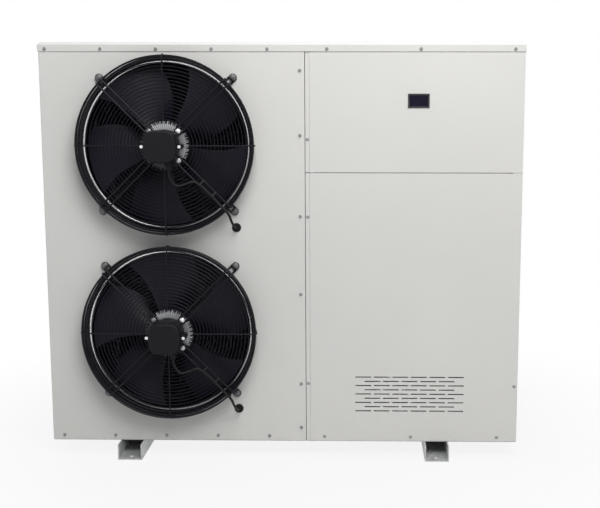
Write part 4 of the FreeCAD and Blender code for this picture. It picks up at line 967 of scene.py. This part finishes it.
def make_ties():
    """Two ties on each motor cable where it runs along the guard's lower right arm."""
    arm_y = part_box("upper_fan_guard")[0].y + ARM_WIRE_RADIUS
    cable_y = -(ARM_WIRE_RADIUS + CABLE_RADIUS + CABLE_GAP)
    along = Vector((1, 0, -1)).normalized()
    across = Vector((1, 0, 1)).normalized()
    turn = Matrix((across, Vector(REAR), -along)).transposed().to_4x4()
    ties = Builder()
    for fan in FANS:
        for x, z, forward in TIE_PLACES:
            out = (x - z) / math.sqrt(2)
            shift = (x + z) / math.sqrt(2)
            centre = Vector((fan.x, arm_y, fan.z)) + along * out
            matrix = Matrix.Translation(centre) @ turn
            circles = [(-ARM_HALF_GAP, 0, ARM_WIRE_RADIUS), (ARM_HALF_GAP, 0, ARM_WIRE_RADIUS),
                       (shift, cable_y - forward, CABLE_RADIUS)]
            ties.add(tie_form(circles, matrix))
            buckle = Vector((shift + BUCKLE_SHIFT, cable_y + BUCKLE_SETBACK, 0))
            ties.add(box_form(BUCKLE_SIZE, matrix @ Matrix.Translation(buckle)))
    ties.finish("cable_ties", "cable_black", "cabinet")


# Lights, floor and camera

def seen_rays(tree):
    """One for what the camera sees, also in a mirror or through glass, and nought for the light itself."""
    path = add_node(tree, "ShaderNodeLightPath")
    names = ("Is Camera Ray", "Is Glossy Ray", "Is Transmission Ray")
    return either_of(tree, [path.outputs[name] for name in names])


def make_floor():
    """A pale floor that keeps the soft shadow and fades into the backdrop."""
    corners = [(-FLOOR_REACH, -FLOOR_REACH, 0), (FLOOR_REACH, -FLOOR_REACH, 0),
               (FLOOR_REACH, FLOOR_REACH, 0), (-FLOOR_REACH, FLOOR_REACH, 0)]
    mesh = bpy.data.meshes.new("floor")
    mesh.from_pydata(corners, [], [(0, 1, 2, 3)])
    floor = bpy.data.objects.new("floor", mesh)
    bpy.context.scene.collection.objects.link(floor)
    material, tree, shader = new_material("floor")
    shader.inputs["Base Color"].default_value = FLOOR_GREY
    shader.inputs["Roughness"].default_value = FLOOR_ROUGHNESS
    emission = add_node(tree, "ShaderNodeEmission")
    emission.inputs["Color"].default_value = WHITE
    emission.inputs["Strength"].default_value = 1.0
    length = add_node(tree, "ShaderNodeVectorMath", operation="LENGTH")
    tree.links.new(object_place(tree), length.inputs[0])
    distance = length.outputs["Value"]
    fade = remap(tree, distance, FADE_LEAST, 1.0, start=FADE_START, end=FADE_END, kind="SMOOTHSTEP")
    factor = math_node(tree, "MULTIPLY", fade, seen_rays(tree))
    output = tree.nodes["Material Output"]
    mixed_shader(tree, factor, shader.outputs["BSDF"], emission.outputs["Emission"], output)
    mesh.materials.append(material)


def add_background(tree, colour, strength):
    node = add_node(tree, "ShaderNodeBackground")
    node.inputs["Color"].default_value = colour
    node.inputs["Strength"].default_value = strength
    return node.outputs["Background"]


def make_world():
    """A white backdrop for the camera and a soft grey surround for the light."""
    world = bpy.data.worlds.new("studio")
    bpy.context.scene.world = world
    world.use_nodes = True
    tree = world.node_tree
    tree.nodes.clear()
    surround = add_background(tree, SURROUND_COLOUR, SURROUND_STRENGTH)
    backdrop = add_background(tree, WHITE, 1.0)
    output = add_node(tree, "ShaderNodeOutputWorld")
    mixed_shader(tree, seen_rays(tree), surround, backdrop, output)


def add_area_light(name, place, size, power, colour=(1, 1, 1)):
    """A rectangular lamp that points at the middle of the object."""
    middle = Vector((0.0, 0.0, 0.6))
    lamp = bpy.data.lights.new(name, "AREA")
    lamp.shape = "RECTANGLE"
    lamp.size = size[0]
    lamp.size_y = size[1]
    lamp.energy = power
    lamp.color = colour
    light = bpy.data.objects.new(name, lamp)
    light.location = place
    light.rotation_euler = (middle - Vector(place)).to_track_quat("-Z", "Y").to_euler()
    bpy.context.scene.collection.objects.link(light)


def make_lights():
    """A large soft key high in front, a weak fill from the right, and light from above and from behind."""
    add_area_light("key", place=(0.6, -2.1, 3.1), size=(2.0, 2.0), power=90.0, colour=(1.0, 0.99, 0.965))
    add_area_light("fill", place=(2.6, -3.2, 1.9), size=(2.4, 2.4), power=14.0, colour=(1.0, 0.985, 0.955))
    add_area_light("overhead", place=(0.0, 0.2, 3.4), size=(2.6, 2.0), power=10.0)
    add_area_light("back", place=(-1.6, 3.4, 2.4), size=(2.4, 2.0), power=45.0)


def make_camera():
    """The photo's camera: a short telephoto a little below the lid's height, looking slightly down."""
    data = bpy.data.cameras.new("camera")
    data.sensor_width = SENSOR_WIDTH
    data.lens = CAMERA_LENS
    data.shift_x, data.shift_y = CAMERA_SHIFT
    data.clip_start, data.clip_end = CAMERA_CLIP
    camera = bpy.data.objects.new("camera", data)
    yaw = Matrix.Rotation(CAMERA_YAW, 4, "Z")
    pitch = Matrix.Rotation(math.pi / 2 + CAMERA_PITCH, 4, "X")
    roll = Matrix.Rotation(CAMERA_ROLL, 4, "Z")
    camera.matrix_world = Matrix.Translation(Vector(CAMERA_PLACE)) @ yaw @ pitch @ roll
    bpy.context.scene.collection.objects.link(camera)
    bpy.context.scene.camera = camera


make_camera()
dress_cad_nodes()
make_coil()
make_collars()
make_motor_ribs()
make_lid_screws()
make_fan_panel_screws()
make_right_panel_screws()
make_side_and_rear_screws()
make_lug_bolts()
make_eye_bolts()
make_ties()
make_floor()
make_world()
make_lights()
bpy.context.scene.view_settings.view_transform = "Standard"
